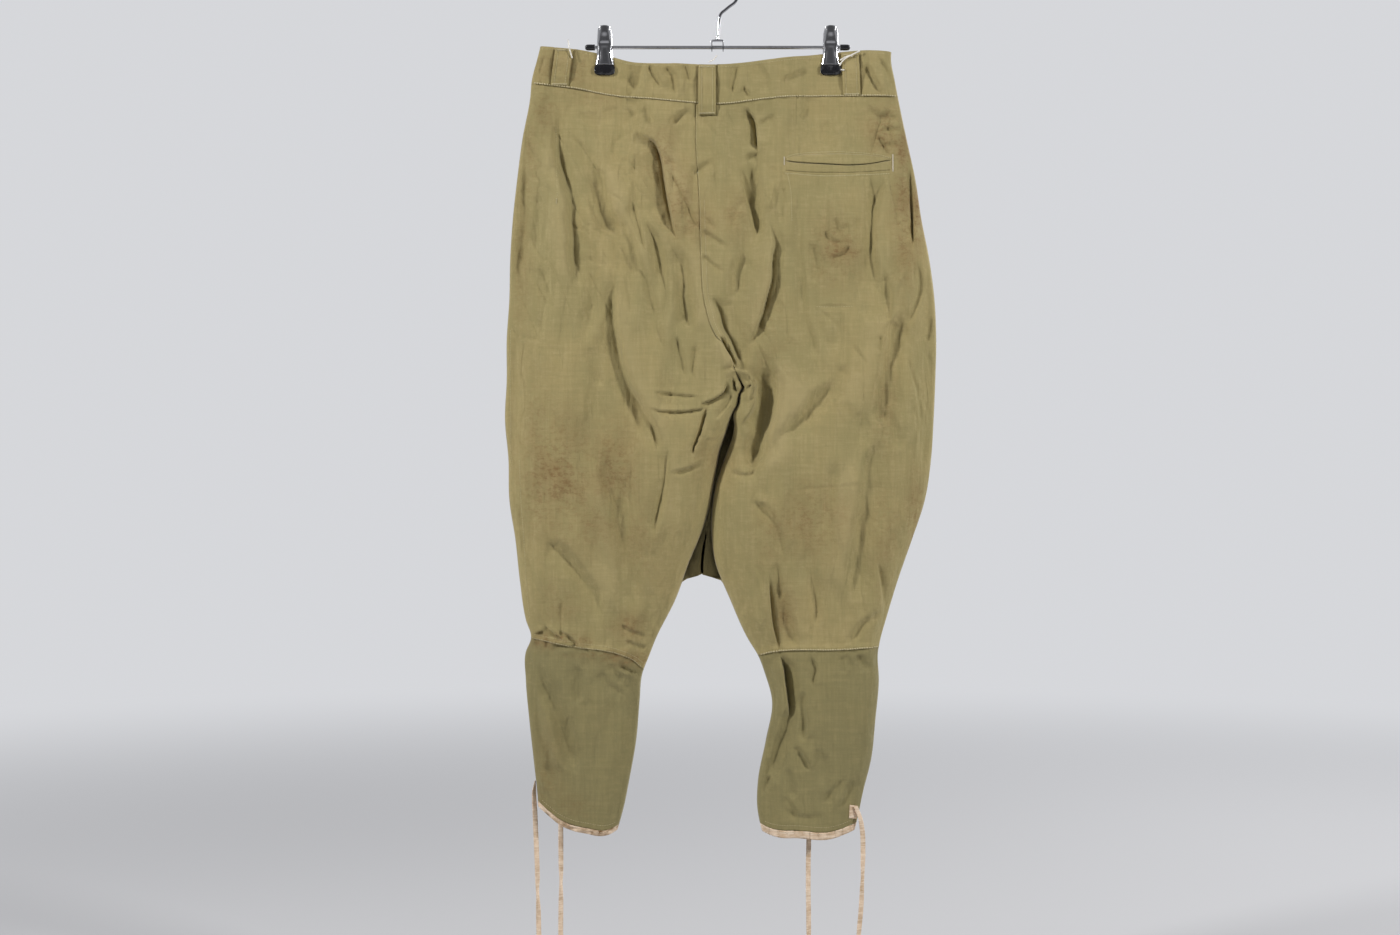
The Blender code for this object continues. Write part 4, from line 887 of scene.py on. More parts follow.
def waistband(name, layer, low, high, columns, finish):
    """A stretch of the waistband between two places on X; None stands for its side edge."""
    mesh, share, level = grid(name, columns, 24)
    drop = np.full(share.shape, 30.0)
    for _ in range(3):
        left = curve(SIDES, "drop", "left", drop) if low is None else low
        right = curve(SIDES, "drop", "right", drop) if high is None else high
        x = mix(left, right, crowded(share))
        drop = mix(curve(BAND, "x", "top", x), curve(BAND, "x", "seam", x) - GAP / 2, level)
    points, wear = band(layer, x, drop)
    lay(mesh, points, layer, stain=stained(layer, x, drop), wear=wear)
    piece = link(name, mesh, finish, [name.replace("band_", "waistband_")])
    thicken(piece, BAND_THICK)
    return piece


Loop = namedtuple("Loop", "layer top_x foot_x top foot side")
LOOPS = {
    "belt_loop_back_left": Loop("back", -176.5, -182, 3, 45, 0),
    "belt_loop_back_centre": Loop("back", -12.6, -12.6, 23, 80, 1),
    "belt_loop_back_right": Loop("back", 151.5, 153.5, 7.5, 56, 0),
    "belt_loop_front_left": Loop("front", -88, -90, 21, 59, 0),
    "belt_loop_front_right": Loop("front", 76, 78, 15.5, 58, 0),
}


def loop_depth(loop, x, drop, level):
    depth = band_depth(x, drop)
    if loop.side:
        on_panel = drop > curve(BAND, "x", "seam", x)
        depth = np.where(on_panel, abs(panel(loop.side, loop.layer, x, drop)[0][..., 1]), depth)
    rise = LOOP_RISE * smooth(0.06, 0.3, level) * smooth(0.94, 0.7, level)
    return depth + LOOP_FOOT + LOOP_WALL + rise


def belt_loop(name, loop, finish):
    """A strap across the waistband that stands off it between its two sewn ends."""
    mesh, share, level = grid("strap_" + name[10:], 18, 44)
    x = mix(loop.top_x, loop.foot_x, level) + (share - 0.5) * LOOP_WIDTH
    drop = mix(loop.top, loop.foot, level)
    seam_lines = bell(abs(share - 0.5) - 0.36, 0.035)
    relief = 0.3 * rolled(share, level, 9, 22) - 0.25 * seam_lines
    relief += 0.35 * lattice(share * 3, level * 5, 41)
    points = place(loop.layer, x, loop_depth(loop, x, drop, level) + relief, drop)
    wear = 0.6 * bell(level - 0.3, 0.16) - 0.5 * seam_lines
    lay(mesh, points, loop.layer, stain=0.5 * stained(loop.layer, x, drop), wear=wear)
    piece = link("strap_" + name[10:], mesh, finish, [name])
    thicken(piece, LOOP_WALL)
    return piece


def on_panel(side, layer):
    return lambda x, drop: panel(side, layer, x, drop)


def on_band(layer):
    return lambda x, drop: band(layer, x, drop)


def smoothed_seat(x, drop):
    """The right seat without the dents of the pocket's own seams."""
    points, wear = panel(1, "back", x, drop)
    points[..., 1] += seam_relief(1, "back", x, drop)
    return points, wear


def welt_pocket(finish):
    """Two strips over the pocket's mouth on the right seat: a lip above and a welt below."""
    for name, node, high, low in (("pocket_upper_lip", "pocket_lip", "top", "mouth"),
                                  ("pocket_lower_welt", "pocket_welt", "mouth", "foot")):
        mesh, share, level = grid(name, 90, 12)
        split = LIP_SPLIT / 2
        above = curve(POCKET, "share", high, share) + (split if high == "mouth" else 0)
        below = curve(POCKET, "share", low, share) - (split if low == "mouth" else 0)
        x, drop = mix(POCKET_LEFT, POCKET_RIGHT, share), mix(above, below, level)
        roll = rolled(share, level, 45, 5)
        gape = np.sin(np.pi * share) ** 0.6
        lift = 0.8 + (1.9 * level * gape if high == "top" else 0.9 * (1 - level) * gape)
        patch(name, "back", smoothed_seat, x, drop, mesh, finish, [node], lift=lift, roll=roll)


def fly(cloth, horn, thread):
    """The plain placket beside the fly, and the button that closes the waistband over it."""
    mesh, share, level = grid("fly_facing", 26, 110)
    drop = mix(71, PLACKET_FOOT - 26 * share**3, level)
    start, _ = edges(1, "front", drop)
    x = start + 1 + share * PLACKET_WIDTH
    roll = rolled(share, level, 22, 90)
    patch("fly_facing", "front", on_panel(1, "front"), x, drop, mesh, cloth, ["fly_placket"],
          roll=roll)
    x, drop = FLY_X + 16, 44
    y = float(band_depth(np.array(x), np.array(drop))) + 0.4
    rim = [(0, 0), (5.6, 0), (7.1, 0.4), (7.5, 1.2), (7.2, 2.1), (6.2, 2.6), (5.4, 2.4),
           (4.6, 1.7), (0, 1.5)]
    shape = bmesh.new()
    ring = [shape.verts.new((radius, 0, high)) for radius, high in rim]
    line = [shape.edges.new(pair) for pair in zip(ring, ring[1:])]
    bmesh.ops.spin(shape, geom=ring + line, cent=(0, 0, 0), axis=(0, 0, 1),
                   angle=2 * math.pi, steps=40, use_merge=True)
    bmesh.ops.remove_doubles(shape, verts=shape.verts, dist=0.001)
    for vert in shape.verts:
        vert.co = (x + vert.co.x, y + vert.co.z, -ROD_DROP - drop + vert.co.y)
    add_shape("waist_button_horn", shape, horn, ["waist_button"])
    shape = bmesh.new()
    for turn in (45, 135):
        for shift in (-0.45, 0, 0.45):
            lean = Matrix.Rotation(math.radians(turn), 4, "Y")
            size = Matrix.Diagonal((2.4, 0.35, 0.3, 1))
            centre = Matrix.Translation((x, y + 2, -ROD_DROP - drop))
            slide = Matrix.Translation((0, 0, shift))
            bmesh.ops.create_icosphere(shape, subdivisions=2, radius=1,
                                       matrix=centre @ lean @ slide @ size)
    add_shape("waist_button_thread", shape, thread)


def tie_tab(finish):
    """The folded patch that sews the outer tie to the right leg."""
    mesh, share, level = grid("tie_patch", 16, 24)
    x = mix(150.5, 159.5, share) - 0.8 * level
    drop = mix(869, 884.5, level) + 1.5 * share
    roll = rolled(share, level, 6, 8)
    patch("tie_patch", "back", on_panel(1, "back"), x, drop, mesh, finish, ["tie_tab"],
          roll=roll)


def tie(name, route, finish):
    """A flat woven ribbon that hangs along its route and turns a little on the way."""
    ribbon = name.replace("tie", "ribbon")
    mesh, share, level = grid(ribbon, 6, 150)
    drop = mix(route[0].drop, route[-1].drop, level)
    x, y, turn = (curve(route, "drop", key, drop) for key in ("x", "y", "turn"))
    turn = np.radians(turn)
    across = (share - 0.5) * TIE_WIDTH
    wave = 0.35 * lattice(share * 1.4, drop / 14, 51) + 0.2 * np.cos(np.pi * (share - 0.5))
    points = np.stack([
        x + across * np.cos(turn) + wave * np.sin(turn),
        y + across * np.sin(turn) - wave * np.cos(turn),
        -(ROD_DROP + drop),
    ], axis=-1)
    lay(mesh, points, "back", stain=np.zeros(len(x)), wear=0 * x)
    piece = link(ribbon, mesh, finish, [name])
    thicken(piece, TIE_THICK)
    piece.modifiers["cloth"].offset = 0
    drop = np.linspace(route[0].drop, route[-1].drop, 60)
    x, y = curve(route, "drop", "x", drop), curve(route, "drop", "y", drop)
    path = np.stack([x, y, -(ROD_DROP + drop)], axis=-1) * MM
    return piece


# ---- stitching ----


def sew(shape, surface, layer, x, drop, long=STITCH_LONG, wide=STITCH_WIDE, pitch=STITCH_PITCH,
        lift=0.12):
    """A row of stitches along a line on the cloth."""
    x, drop = np.asarray(x, float), np.asarray(drop, float)
    along = np.concatenate([[0], np.cumsum(np.hypot(np.diff(x), np.diff(drop)))])
    places = np.arange(pitch / 2, along[-1], pitch)
    if not len(places):
        return
    xs, drops = np.interp(places, along, x), np.interp(places, along, drop)
    ahead = np.clip(places + 0.6, 0, along[-1])
    behind = np.clip(places - 0.6, 0, along[-1])
    here, normal = normals(surface, layer, xs, drops)
    tangent = (surface(np.interp(ahead, along, x), np.interp(ahead, along, drop))[0]
               - surface(np.interp(behind, along, x), np.interp(behind, along, drop))[0])
    tangent /= np.maximum(np.linalg.norm(tangent, axis=-1, keepdims=True), 1e-9)
    beside = np.cross(normal, tangent)
    for point, forward, aside, up in zip(here, tangent, beside, normal):
        size = np.stack([forward * long / 2, aside * wide / 2, up * wide / 2], axis=1)
        matrix = Matrix.Identity(4)
        for row in range(3):
            matrix[row][:3] = size[row]
            matrix[row][3] = point[row] + lift * up[row]
        bmesh.ops.create_icosphere(shape, subdivisions=1, radius=1, matrix=matrix)


def bar_tack(shape, surface, layer, x, drop, high, wide=1.8):
    """A block of close stitches that holds a pocket's end or a loop's foot."""
    for step in np.arange(-high / 2, high / 2 + 0.01, 0.55):
        sew(shape, surface, layer, [x - wide / 2, x + wide / 2], [drop + step, drop + step],
            wide, 0.6, wide, 0.3)


def side_bar(shape, surface, layer, left, right, drop):
    for x in np.arange(left, right, 0.6):
        sew(shape, surface, layer, [x, x], [drop - 0.9, drop + 0.9], 1.8, 0.6, 1.8, 0.3)


def band_rows(layer, thread):
    """Rows along both edges of the waistband."""
    shape = bmesh.new()
    x = np.linspace(-211, 204, 200)
    sew(shape, on_band(layer), layer, x, curve(BAND, "x", "seam", x) - 1.1, 2.8, 2.1, lift=0.7)
    x = np.linspace(-203, 196, 200)
    sew(shape, on_band(layer), layer, x, curve(BAND, "x", "top", x) + 3.2, wide=0.4)
    add_shape(f"thread_waistband_{layer}", shape, thread)


def centre_rows(thread):
    shape = bmesh.new()
    for layer, side, shifts in (("back", 1, (1.4, 6.0)), ("front", 1, (1.4,))):
        for shift in shifts:
            drop = np.linspace(72 if shift < 2 else 178, 372, 90)
            x = curve(CENTRE_SEAMS, "drop", layer, drop) + shift
            sew(shape, on_panel(side, layer), layer, x, drop, wide=0.4)
    add_shape("thread_centre_seams", shape, thread)


def knee_rows(thread):
    """A bold row on the edge of each knee seam and a finer one above, all round the leg."""
    shape = bmesh.new()
    for side in OUT.values():
        for layer in OUT:
            rows = ((-1.2, 2.0),) if side > 0 else ((-1.2, 0.8), (-5.4, 0.35))
            for shift, wide in rows:
                share = np.linspace(0.03, 0.98, 80)
                drop = curve(KNEES, "share", SIDE[side], share) + shift
                start, end = edges(side, layer, drop)
                sew(shape, on_panel(side, layer), layer, mix(start, end, share), drop, 2.7,
                    wide, lift=0.9)
    add_shape("thread_knee_seams", shape, thread)


def hem_rows(thread):
    shape = bmesh.new()
    for side in OUT.values():
        for layer in OUT:
            share = np.linspace(0.05, 0.95, 60)
            drop = curve(HEMS, "share", SIDE[side], share) - TAPE_WIDTHS[side] - 6
            start, end = edges(side, layer, drop)
            sew(shape, on_panel(side, layer), layer, mix(start, end, share), drop, wide=0.4)
    add_shape("thread_hems", shape, thread)


def tape_rows(thread):
    shape = bmesh.new()
    for side in OUT.values():
        for layer in OUT:
            share = np.linspace(0.05, 0.95, 60)
            drop = curve(HEMS, "share", SIDE[side], share) - TAPE_WIDTHS[side] + 1.6
            start, end = edges(side, layer, drop)
            sew(shape, on_panel(side, layer), layer, mix(start, end, share), drop, wide=0.45,
                lift=1.1)
    add_shape("thread_hem_tapes", shape, thread)


# Rows sewn straight on the panels: which leg, the line, and how wide the thread looks
Row = namedtuple("Row", "side path wide")
BACK_ROWS = (
    Row(-1, ((-186, 93), (-185, 129), (-183, 175)), 0.45),
    Row(-1, ((-238, 325), (-238, 405), (-237, 486)), 0.4),
    Row(-1, ((-227, 474), (-225, 520), (-222, 566), (-219.5, 612), (-216, 656)), 0.4),
    Row(1, ((76, 147), (130, 149.8), (195, 147)), 0.9),
    Row(1, ((79, 147), (83, 170), (84, 204)), 0.5),
    Row(1, ((77, 129), (88, 125), (113, 122), (150, 122), (183, 125), (198, 129)), 0.7),
    Row(1, ((111, 300), (132, 300.5), (152, 299.6)), 0.35),
)
FRONT_ROWS = (
    Row(1, ((FLY_X + 30, 74), (FLY_X + 30, 130), (FLY_X + 30, 190), (FLY_X + 14, 226)), 0.45),
    Row(-1, ((-198, 74), (-188, 140), (-194, 228)), 0.45),
    Row(1, ((191, 78), (199, 140), (207, 234)), 0.45),
)


def panel_rows(name, layer, rows, thread):
    shape = bmesh.new()
    for row in rows:
        x, drop = line_through(row.path)
        sew(shape, on_panel(row.side, layer), layer, x, drop, wide=row.wide)
    add_shape(name, shape, thread)


def bars(cream, thread):
    """Bar tacks at the pockets' ends and the belt loops' ends."""
    shape = bmesh.new()
    back = on_panel(1, "back")
    bar_tack(shape, back, "back", 75.5, 133, 9)
    bar_tack(shape, back, "back", 200, 134.5, 20, 2.2)
    add_shape("tacks_pocket", shape, cream)
    shape = bmesh.new()
    bar_tack(shape, on_panel(-1, "back"), "back", -184, 180, 6)
    for loop in LOOPS.values():
        for shift in (-6.2, 6.2):
            level = np.linspace(0.05, 0.95, 24)

            def along_strap(across, drop, loop=loop):
                level = np.clip((drop - loop.top) / (loop.foot - loop.top), 0, 1)
                return place(loop.layer, across, loop_depth(loop, across, drop, level) + 0.3,
                             drop), None

            sew(shape, along_strap, loop.layer, mix(loop.top_x, loop.foot_x, level) + shift,
                mix(loop.top, loop.foot, level), wide=0.6)
        for level in (0.035, 0.965):
            x = mix(loop.top_x, loop.foot_x, level)

            def on_strap(across, drop, loop=loop, level=level):
                depth = loop_depth(loop, across, drop, np.full(np.shape(across), level)) + 0.3
                return place(loop.layer, across, depth, drop), None

            side_bar(shape, on_strap, loop.layer, x - 8.5, x + 8.5,
                     mix(loop.top, loop.foot, level))
    add_shape("tacks_belt_loops", shape, thread)


def loose_ends(finish):
    """Ends of thread that stand out by the right clip and at the top of the centre loop."""
    for index, route in enumerate((
        ((139.3, 22.3), (142.4, 17.2), (148.7, 12.2), (156.3, 8.4), (162.6, 5.8)),
        ((139.8, 16), (144.9, 12.9), (151, 10.8), (154, 11.6)),
        ((140.6, 26.8), (144.9, 27.3)), ((-10.7, 20.4), (-5.6, 18), (-1.3, 12.9)),
        ((-167, 14), (-170, 4), (-172, -7)),
    )):
        xs, drops = line_through(route)
        line = [(x, -float(band_depth(np.array(x), np.array(30.0))) - 5, -ROD_DROP - drop)
                for x, drop in zip(xs, drops)]
        wire(f"loose_end_{index + 1}", line, 0.75, finish, (), 2)


# ---- hanger ----


def wire(name, route, radius, finish, nodes, sides=6):
    """A round wire along a list of points in millimetres."""
    line = bpy.data.curves.new(name, "CURVE")
    line.dimensions = "3D"
    line.bevel_depth = radius * MM
    line.bevel_resolution = sides
    line.use_fill_caps = True
    spline = line.splines.new("POLY")
    spline.points.add(len(route) - 1)
    for point, where in zip(spline.points, route):
        point.co = (*(np.array(where) * MM), 1)
    return link(name, line, finish, nodes)


def hook(finish):
    """Wire from the nut up into a round hook that opens towards the left."""
    Point = namedtuple("Point", "step x drop")
    centre = HOOK_WIRE - HOOK_RADIUS
    stem = [
        (STEM_X, BRACKET_TOP - GAP - NUT_HEIGHT - GAP), (0.2, -19), (1.2, -30), (2.2, -36.4),
        (4.6, -40.2), (8.4, -43.2), (13.2, -47.2),
    ]
    for degrees in range(-38, 196, 13):
        angle = math.radians(degrees)
        stem.append((HOOK_RADIUS * math.cos(angle),
                     -ROD_DROP - centre - HOOK_RADIUS * math.sin(angle)))
    rows = [Point(step, *point) for step, point in enumerate(stem)]
    steps = np.linspace(0, len(rows) - 1, 6 * len(rows))
    xs, drops = curve(rows, "step", "x", steps), curve(rows, "step", "drop", steps)
    route = [(x, 0, -ROD_DROP - drop) for x, drop in zip(xs, drops)]
    wire("hook_wire", route, HOOK_WIRE, finish, ["hook"])


def turned(profile, centre, segments=40):
    """A solid turned about X from a profile of places along X and radii."""
    shape = bmesh.new()
    ring = [shape.verts.new((centre + x, radius, -ROD_DROP)) for x, radius in profile]
    line = [shape.edges.new(pair) for pair in zip(ring, ring[1:])]
    bmesh.ops.spin(shape, geom=ring + line, cent=(centre, 0, -ROD_DROP), axis=(1, 0, 0),
                   angle=2 * math.pi, steps=segments, use_merge=True)
    bmesh.ops.remove_doubles(shape, verts=shape.verts, dist=0.001)
    return shape


def rod(steel, rubber):
    bare = CAP_LENGTH + GAP
    low, high = ROD_LEFT + bare, ROD_RIGHT - bare
    profile = [(low, 0), (low, ROD_RADIUS - 0.3), (low + 0.3, ROD_RADIUS),
               (high - 0.3, ROD_RADIUS), (high, ROD_RADIUS - 0.3), (high, 0)]
    add_shape("cross_rod", turned(profile, 0), steel, ["hanger_rod"])
    for place_name, end, way in (("left", ROD_LEFT, 1), ("right", ROD_RIGHT, -1)):
        profile = [(0, 0), (0.15, 1.2), (0.7, 2.3), (1.6, 3.0), (3, 3.4), (5, CAP_RADIUS),
                   (8.6, CAP_RADIUS), (9.2, 3.25), (9.8, CAP_RADIUS), (11.1, CAP_RADIUS),
                   (11.5, 3.1), (11.5, 0)]
        shape = turned([(way * x, radius) for x, radius in profile], end)
        add_shape(f"end_cap_{place_name}", shape, rubber, [f"rod_cap_{place_name}"])


def bracket(steel):
    """A saddle over the rod, drilled for it, with the nut that holds the hook."""
    left, right = BRACKET_X - BRACKET_WIDTH / 2, BRACKET_X + BRACKET_WIDTH / 2
    bend = 1.8
    turn = np.radians(np.linspace(0, 90, 7))
    outline = [(left, BRACKET_FOOT)]
    outline += [(left + bend - bend * math.cos(a), BRACKET_TOP + bend - bend * math.sin(a))
                for a in turn]
    outline += [(right - bend + bend * math.sin(a), BRACKET_TOP + bend - bend * math.cos(a))
                for a in turn]
    outline += [(right, BRACKET_FOOT)]
    shape = bmesh.new()
    verts = [shape.verts.new((x, -BRACKET_DEPTH / 2, -ROD_DROP - drop)) for x, drop in outline]
    line = [shape.edges.new(pair) for pair in zip(verts, verts[1:])]
    made = bmesh.ops.extrude_edge_only(shape, edges=line)
    moved = [item for item in made["geom"] if isinstance(item, bmesh.types.BMVert)]
    bmesh.ops.translate(shape, verts=moved, vec=(0, BRACKET_DEPTH, 0))
    bmesh.ops.scale(shape, verts=shape.verts, vec=(MM, MM, MM))
    mesh = bpy.data.meshes.new("hook_saddle")
    shape.to_mesh(mesh)
    shape.free()
    if mesh.polygons[0].normal.x > 0:
        mesh.flip_normals()
    mesh.shade_smooth()
    saddle = link("hook_saddle", mesh, steel, ["hook_bracket"])
    thicken(saddle, BRACKET_PLATE)
    rounding = saddle.modifiers.new("edges", "BEVEL")
    rounding.width = 0.25 * MM
    rounding.segments = 2
    rounding.limit_method = "ANGLE"
    shape = bmesh.new()
    bmesh.ops.create_cone(shape, segments=6, radius1=NUT_RADIUS, radius2=NUT_RADIUS,
                          depth=NUT_HEIGHT, cap_ends=True)
    z = -ROD_DROP - BRACKET_TOP + GAP + NUT_HEIGHT / 2
    bmesh.ops.translate(shape, verts=shape.verts, vec=(STEM_X, 0, z))
    bmesh.ops.bevel(shape, geom=shape.edges[:], affect="EDGES", offset=0.25, segments=2,
                    profile=0.5, material=-1)
    add_shape("hook_lock_nut", shape, steel, ["hook_nut"], 30)


def clip_jaw(where, centre, layer, finish):
    """A stamped plate: curled sides, a domed thumb end, and a ridge pressed down its middle."""
    name = f"jaw_{where}_{layer}"
    mesh, share, level = grid(name, 44, 90)
    share = 2 * share - 1
    drop = mix(JAW[0].drop, JAW[-1].drop, level)
    half, off = curve(JAW, "drop", "half", drop), curve(JAW, "drop", "off", drop)
    curl = 2.4 * abs(share) ** 4 * smooth(-26, -16, drop)
    dome = 1.3 * bell(drop + 17.5, 5.5) * bell(share, 0.75)
    ridge = 0.5 * smooth(-3, 4, drop) * smooth(0.5, 0.12, abs(share))
    ridge -= 0.3 * smooth(2, 7, drop) * bell(abs(share) - 0.6, 0.09)
    waist = 0.9 * bell(drop + 2.5, 3.2) * smooth(0.9, 0.5, abs(share))
    depth = off - curl + dome + ridge - waist + JAW_WALL
    points = place(layer, centre + half * share, depth, drop)
    lay(mesh, points, layer)
    piece = link(name, mesh, finish, [f"clip_{where}_{layer}"])
    thicken(piece, JAW_WALL)


def clip_shoe(where, centre, layer, finish):
    """The rubber shoe that grips the waistband."""
    shape = bmesh.new()
    bmesh.ops.create_cube(shape, size=1)
    bmesh.ops.subdivide_edges(shape, edges=shape.edges[:], cuts=11, use_grid_fill=True)
    low = PINCHED + GAP
    for vert in shape.verts:
        across, out, down = 2 * vert.co.x, vert.co.y + 0.5, 0.5 - vert.co.z
        corner = 1 - 0.11 * abs(across) ** 8 * (abs(2 * down - 1) ** 6)
        half = 11.2 + 0.5 * math.sin(math.pi * down) - 1.2 * down**6
        round_off = (1 - 0.3 * abs(across) ** 4) * (1 - 0.3 * abs(2 * down - 1) ** 6)
        groove = 0.25 * math.exp(-((down - 0.16) / 0.05) ** 2)
        depth = low + (TIP_THICK * round_off - groove) * out
        drop = mix(TIP_TOP, TIP_FOOT, 0.5 + (down - 0.5) * corner)
        vert.co = (centre + half * across * corner, OUT[layer] * depth, -ROD_DROP - drop)
    bmesh.ops.bevel(shape, geom=[edge for edge in shape.edges if edge.calc_face_angle(0) > 1.0],
                    affect="EDGES", offset=0.35, segments=2, profile=0.5, material=-1)
    add_shape(f"shoe_{where}_{layer}", shape, finish, [f"clip_{where}_{layer}_tip"],
              60)


def clip_spring(where, centre, finish):
    """The coil round the rod between the two jaws."""
    radius = SPRING_RADIUS - SPRING_WIRE / 2
    route = []
    for step in np.linspace(0, 1, 26 * SPRING_TURNS):
        angle = 2 * math.pi * SPRING_TURNS * step
        x = centre + (step - 0.5) * (SPRING_LENGTH - SPRING_WIRE)
        route.append((x, radius * math.cos(angle), -ROD_DROP + radius * math.sin(angle)))
    wire(f"coil_{where}", route, SPRING_WIRE / 2, finish, [f"clip_{where}_spring"], 3)


# ---- finishes ----


class Number:
    """A socket that carries a number; sums and products with it add Math nodes."""

    def __init__(self, finish, socket):
        self.finish, self.socket = finish, socket

    def join(self, operation, first, second):
        return self.finish.node("ShaderNodeMath", {"operation": operation}, {0: first, 1: second})

    def __add__(self, other):
        return self.join("ADD", self, other)

    def __sub__(self, other):
        return self.join("SUBTRACT", self, other)

    def __mul__(self, other):
        return self.join("MULTIPLY", self, other)

    def __rsub__(self, other):
        return self.join("SUBTRACT", other, self)

    __radd__, __rmul__ = __add__, __mul__

    def between(self, low, high, out_low=0.0, out_high=1.0):
        """Smoothly 0 to 1, or from one value to another, while this goes from low to high."""
        return self.finish.node(
            "ShaderNodeMapRange", {"interpolation_type": "SMOOTHSTEP"},
            {0: self, 1: low, 2: high, 3: out_low, 4: out_high},
        )


class Finish:
    """A material in the making, on a Principled shader whose constants are given by name."""

    def __init__(self, name, **constants):
        self.material = bpy.data.materials.new(name)
        self.material.use_nodes = True
        self.tree = self.material.node_tree
        self.shader = self.tree.nodes["Principled BSDF"]
        for key, value in constants.items():
            self.shader.inputs[key.replace("_", " ").title()].default_value = value
        self.coordinates = self.node("ShaderNodeTexCoord", output="Object")

    def node(self, kind, settings=None, inputs=None, output=0):
        made = self.tree.nodes.new(kind)
        for key, value in (settings or {}).items():
            setattr(made, key, value)
        self.connect(made, inputs or {})
        return Number(self, made.outputs[output])

    def connect(self, made, inputs):
        for key, value in inputs.items():
            if isinstance(value, Number):
                self.tree.links.new(value.socket, made.inputs[key])
            else:
                made.inputs[key].default_value = value

    def noise(self, scale, detail=2.0, stretch=(1, 1, 1), roughness=0.5):
        """Noise on object coordinates, with its cells 1/scale metres across."""
        where = self.node("ShaderNodeVectorMath", {"operation": "MULTIPLY"},
                          {0: self.coordinates, 1: stretch})
        return self.node("ShaderNodeTexNoise", inputs={
            "Vector": where, "Scale": scale, "Detail": detail, "Roughness": roughness})

    def attribute(self, name):
        return self.node("ShaderNodeAttribute", {"attribute_name": name}, output="Fac")

    def blend(self, first, second, factor, mode="MIX"):
        first, second = (
            colour if isinstance(colour, Number) else (*colour, 1) for colour in (first, second)
        )
        return self.node("ShaderNodeMix", {"data_type": "RGBA", "blend_type": mode},
                         {0: factor, 6: first, 7: second}, output=2)

    def done(self, colour, height=None, distance=0.0, **links):
        """Links the colour, the bump height in distances of mm, and any other socket."""
        inputs = {"Base Color": colour if isinstance(colour, Number) else (*colour, 1)}
        if height is not None:
            inputs["Normal"] = self.node("ShaderNodeBump", inputs={
                "Strength": 1.0, "Distance": distance * MM, "Height": height})
        inputs.update({key.title(): value for key, value in links.items()})
        self.connect(self.shader, inputs)
        return self.material


def cotton(name, tone, deep, pale):
    """Washed cotton drill: uneven slubs both ways, brown stains, rubbed creases and painted shade
    darkening them.
    """
    finish = Finish(name, sheen_weight=0.12, sheen_roughness=0.5)
    patches = finish.noise(6, 4, roughness=0.6).between(0.36, 0.64)
    clouds = finish.noise(30, 5, (1, 1, 0.5), 0.65).between(0.3, 0.7)
    warp = finish.noise(620, 2, (1, 1, 0.05))
    weft = finish.noise(620, 2, (0.05, 1, 1))
    threads = finish.noise(1500, 2)
    slubs = warp * 0.5 + weft * 0.5
    colour = finish.blend(deep, tone, patches * 0.6 + clouds * 0.4)
    colour = finish.blend(colour, pale, slubs.between(0.46, 0.7) * 0.3)
    colour = finish.blend(colour, deep, slubs.between(0.54, 0.32) * 0.25)
    coarse = finish.noise(240, 3, (1, 1, 0.05)) * 0.5 + finish.noise(260, 3, (0.06, 1, 1)) * 0.5
    colour = finish.blend(colour, pale, coarse.between(0.5, 0.66) * 0.3)
    colour = finish.blend(colour, deep, coarse.between(0.5, 0.36) * 0.55)
    # Paler where the mark is above zero, on worn crests; darker where it is below zero, painted shade
    # in troughs, creases and behind the legs, with some dirt.
    wear = finish.attribute("wear")
    colour = finish.blend(colour, pale, wear.between(0.05, 0.8) * 0.45)
    crease_dirt_and_shade = tuple(0.45 * part for part in deep)
    colour = finish.blend(colour, crease_dirt_and_shade, wear.between(-0.1, -1.0) * 0.5)
    speckle = finish.noise(150, 4, (1, 1, 1.6), 0.75).between(0.47, 0.62)
    blotch = finish.noise(28, 4, roughness=0.6).between(0.32, 0.66)
    stain = finish.attribute("stain") * (speckle * 0.55 + blotch * 0.5 + 0.1)
    colour = finish.blend(colour, STAIN_BROWN, stain)
    rumples = finish.noise(34, 4, (1, 1, 0.4), 0.55)
    creases = finish.noise(48, 2, (1, 1, 0.3), 0.5).between(0.38, 0.5)
    height = slubs * 0.7 + coarse * 1.2 + threads * 0.3 + rumples * 8.5 + creases * 1.5
    return finish.done(colour, height, 0.5, roughness=finish.noise(60, 2) * 0.14 + 0.82)


def tape_cloth(name, tone, deep, pale):
    """Narrow plain-woven tape, ribbed across."""
    finish = Finish(name, sheen_weight=0.1)
    clouds = finish.noise(90, 3, roughness=0.6).between(0.3, 0.7)
    ribs = finish.noise(900, 1, (0.1, 0.1, 1))
    colour = finish.blend(deep, tone, clouds)
    colour = finish.blend(colour, pale, ribs.between(0.45, 0.7) * 0.6)
    stain = finish.attribute("stain") * finish.noise(120, 3).between(0.35, 0.65)
    colour = finish.blend(colour, STAIN_BROWN, stain * 0.8)
    return finish.done(colour, ribs, 0.35, roughness=clouds * 0.1 + 0.8)


def thread_finish(name, tone):
    finish = Finish(name, sheen_weight=0.1)
    twist = finish.noise(1400, 1)
    colour = finish.blend(tuple(0.6 * part for part in tone), tone, twist.between(0.3, 0.6))
    return finish.done(colour, twist, 0.1, roughness=twist * 0.1 + 0.7)


def chrome(name, tone):
    """Bright plating with faint rubbing marks and a little grime."""
    finish = Finish(name, metallic=1.0)
    rubbed = finish.noise(300, 3, (1, 1, 0.2))
    grime = finish.noise(90, 3).between(0.52, 0.75)
    colour = finish.blend(tone, tuple(0.55 * part for part in tone), grime * 0.6)
    return finish.done(colour, rubbed, 0.01, roughness=rubbed * 0.16 + grime * 0.1 + 0.04)


def rubber():
    finish = Finish("black_rubber")
    grain = finish.noise(1100, 2)
    dust = finish.noise(150, 3).between(0.5, 0.75)
    colour = finish.blend(BLACK, (0.05, 0.05, 0.052), dust)
    return finish.done(colour, grain, 0.03, roughness=dust * 0.2 + 0.2)


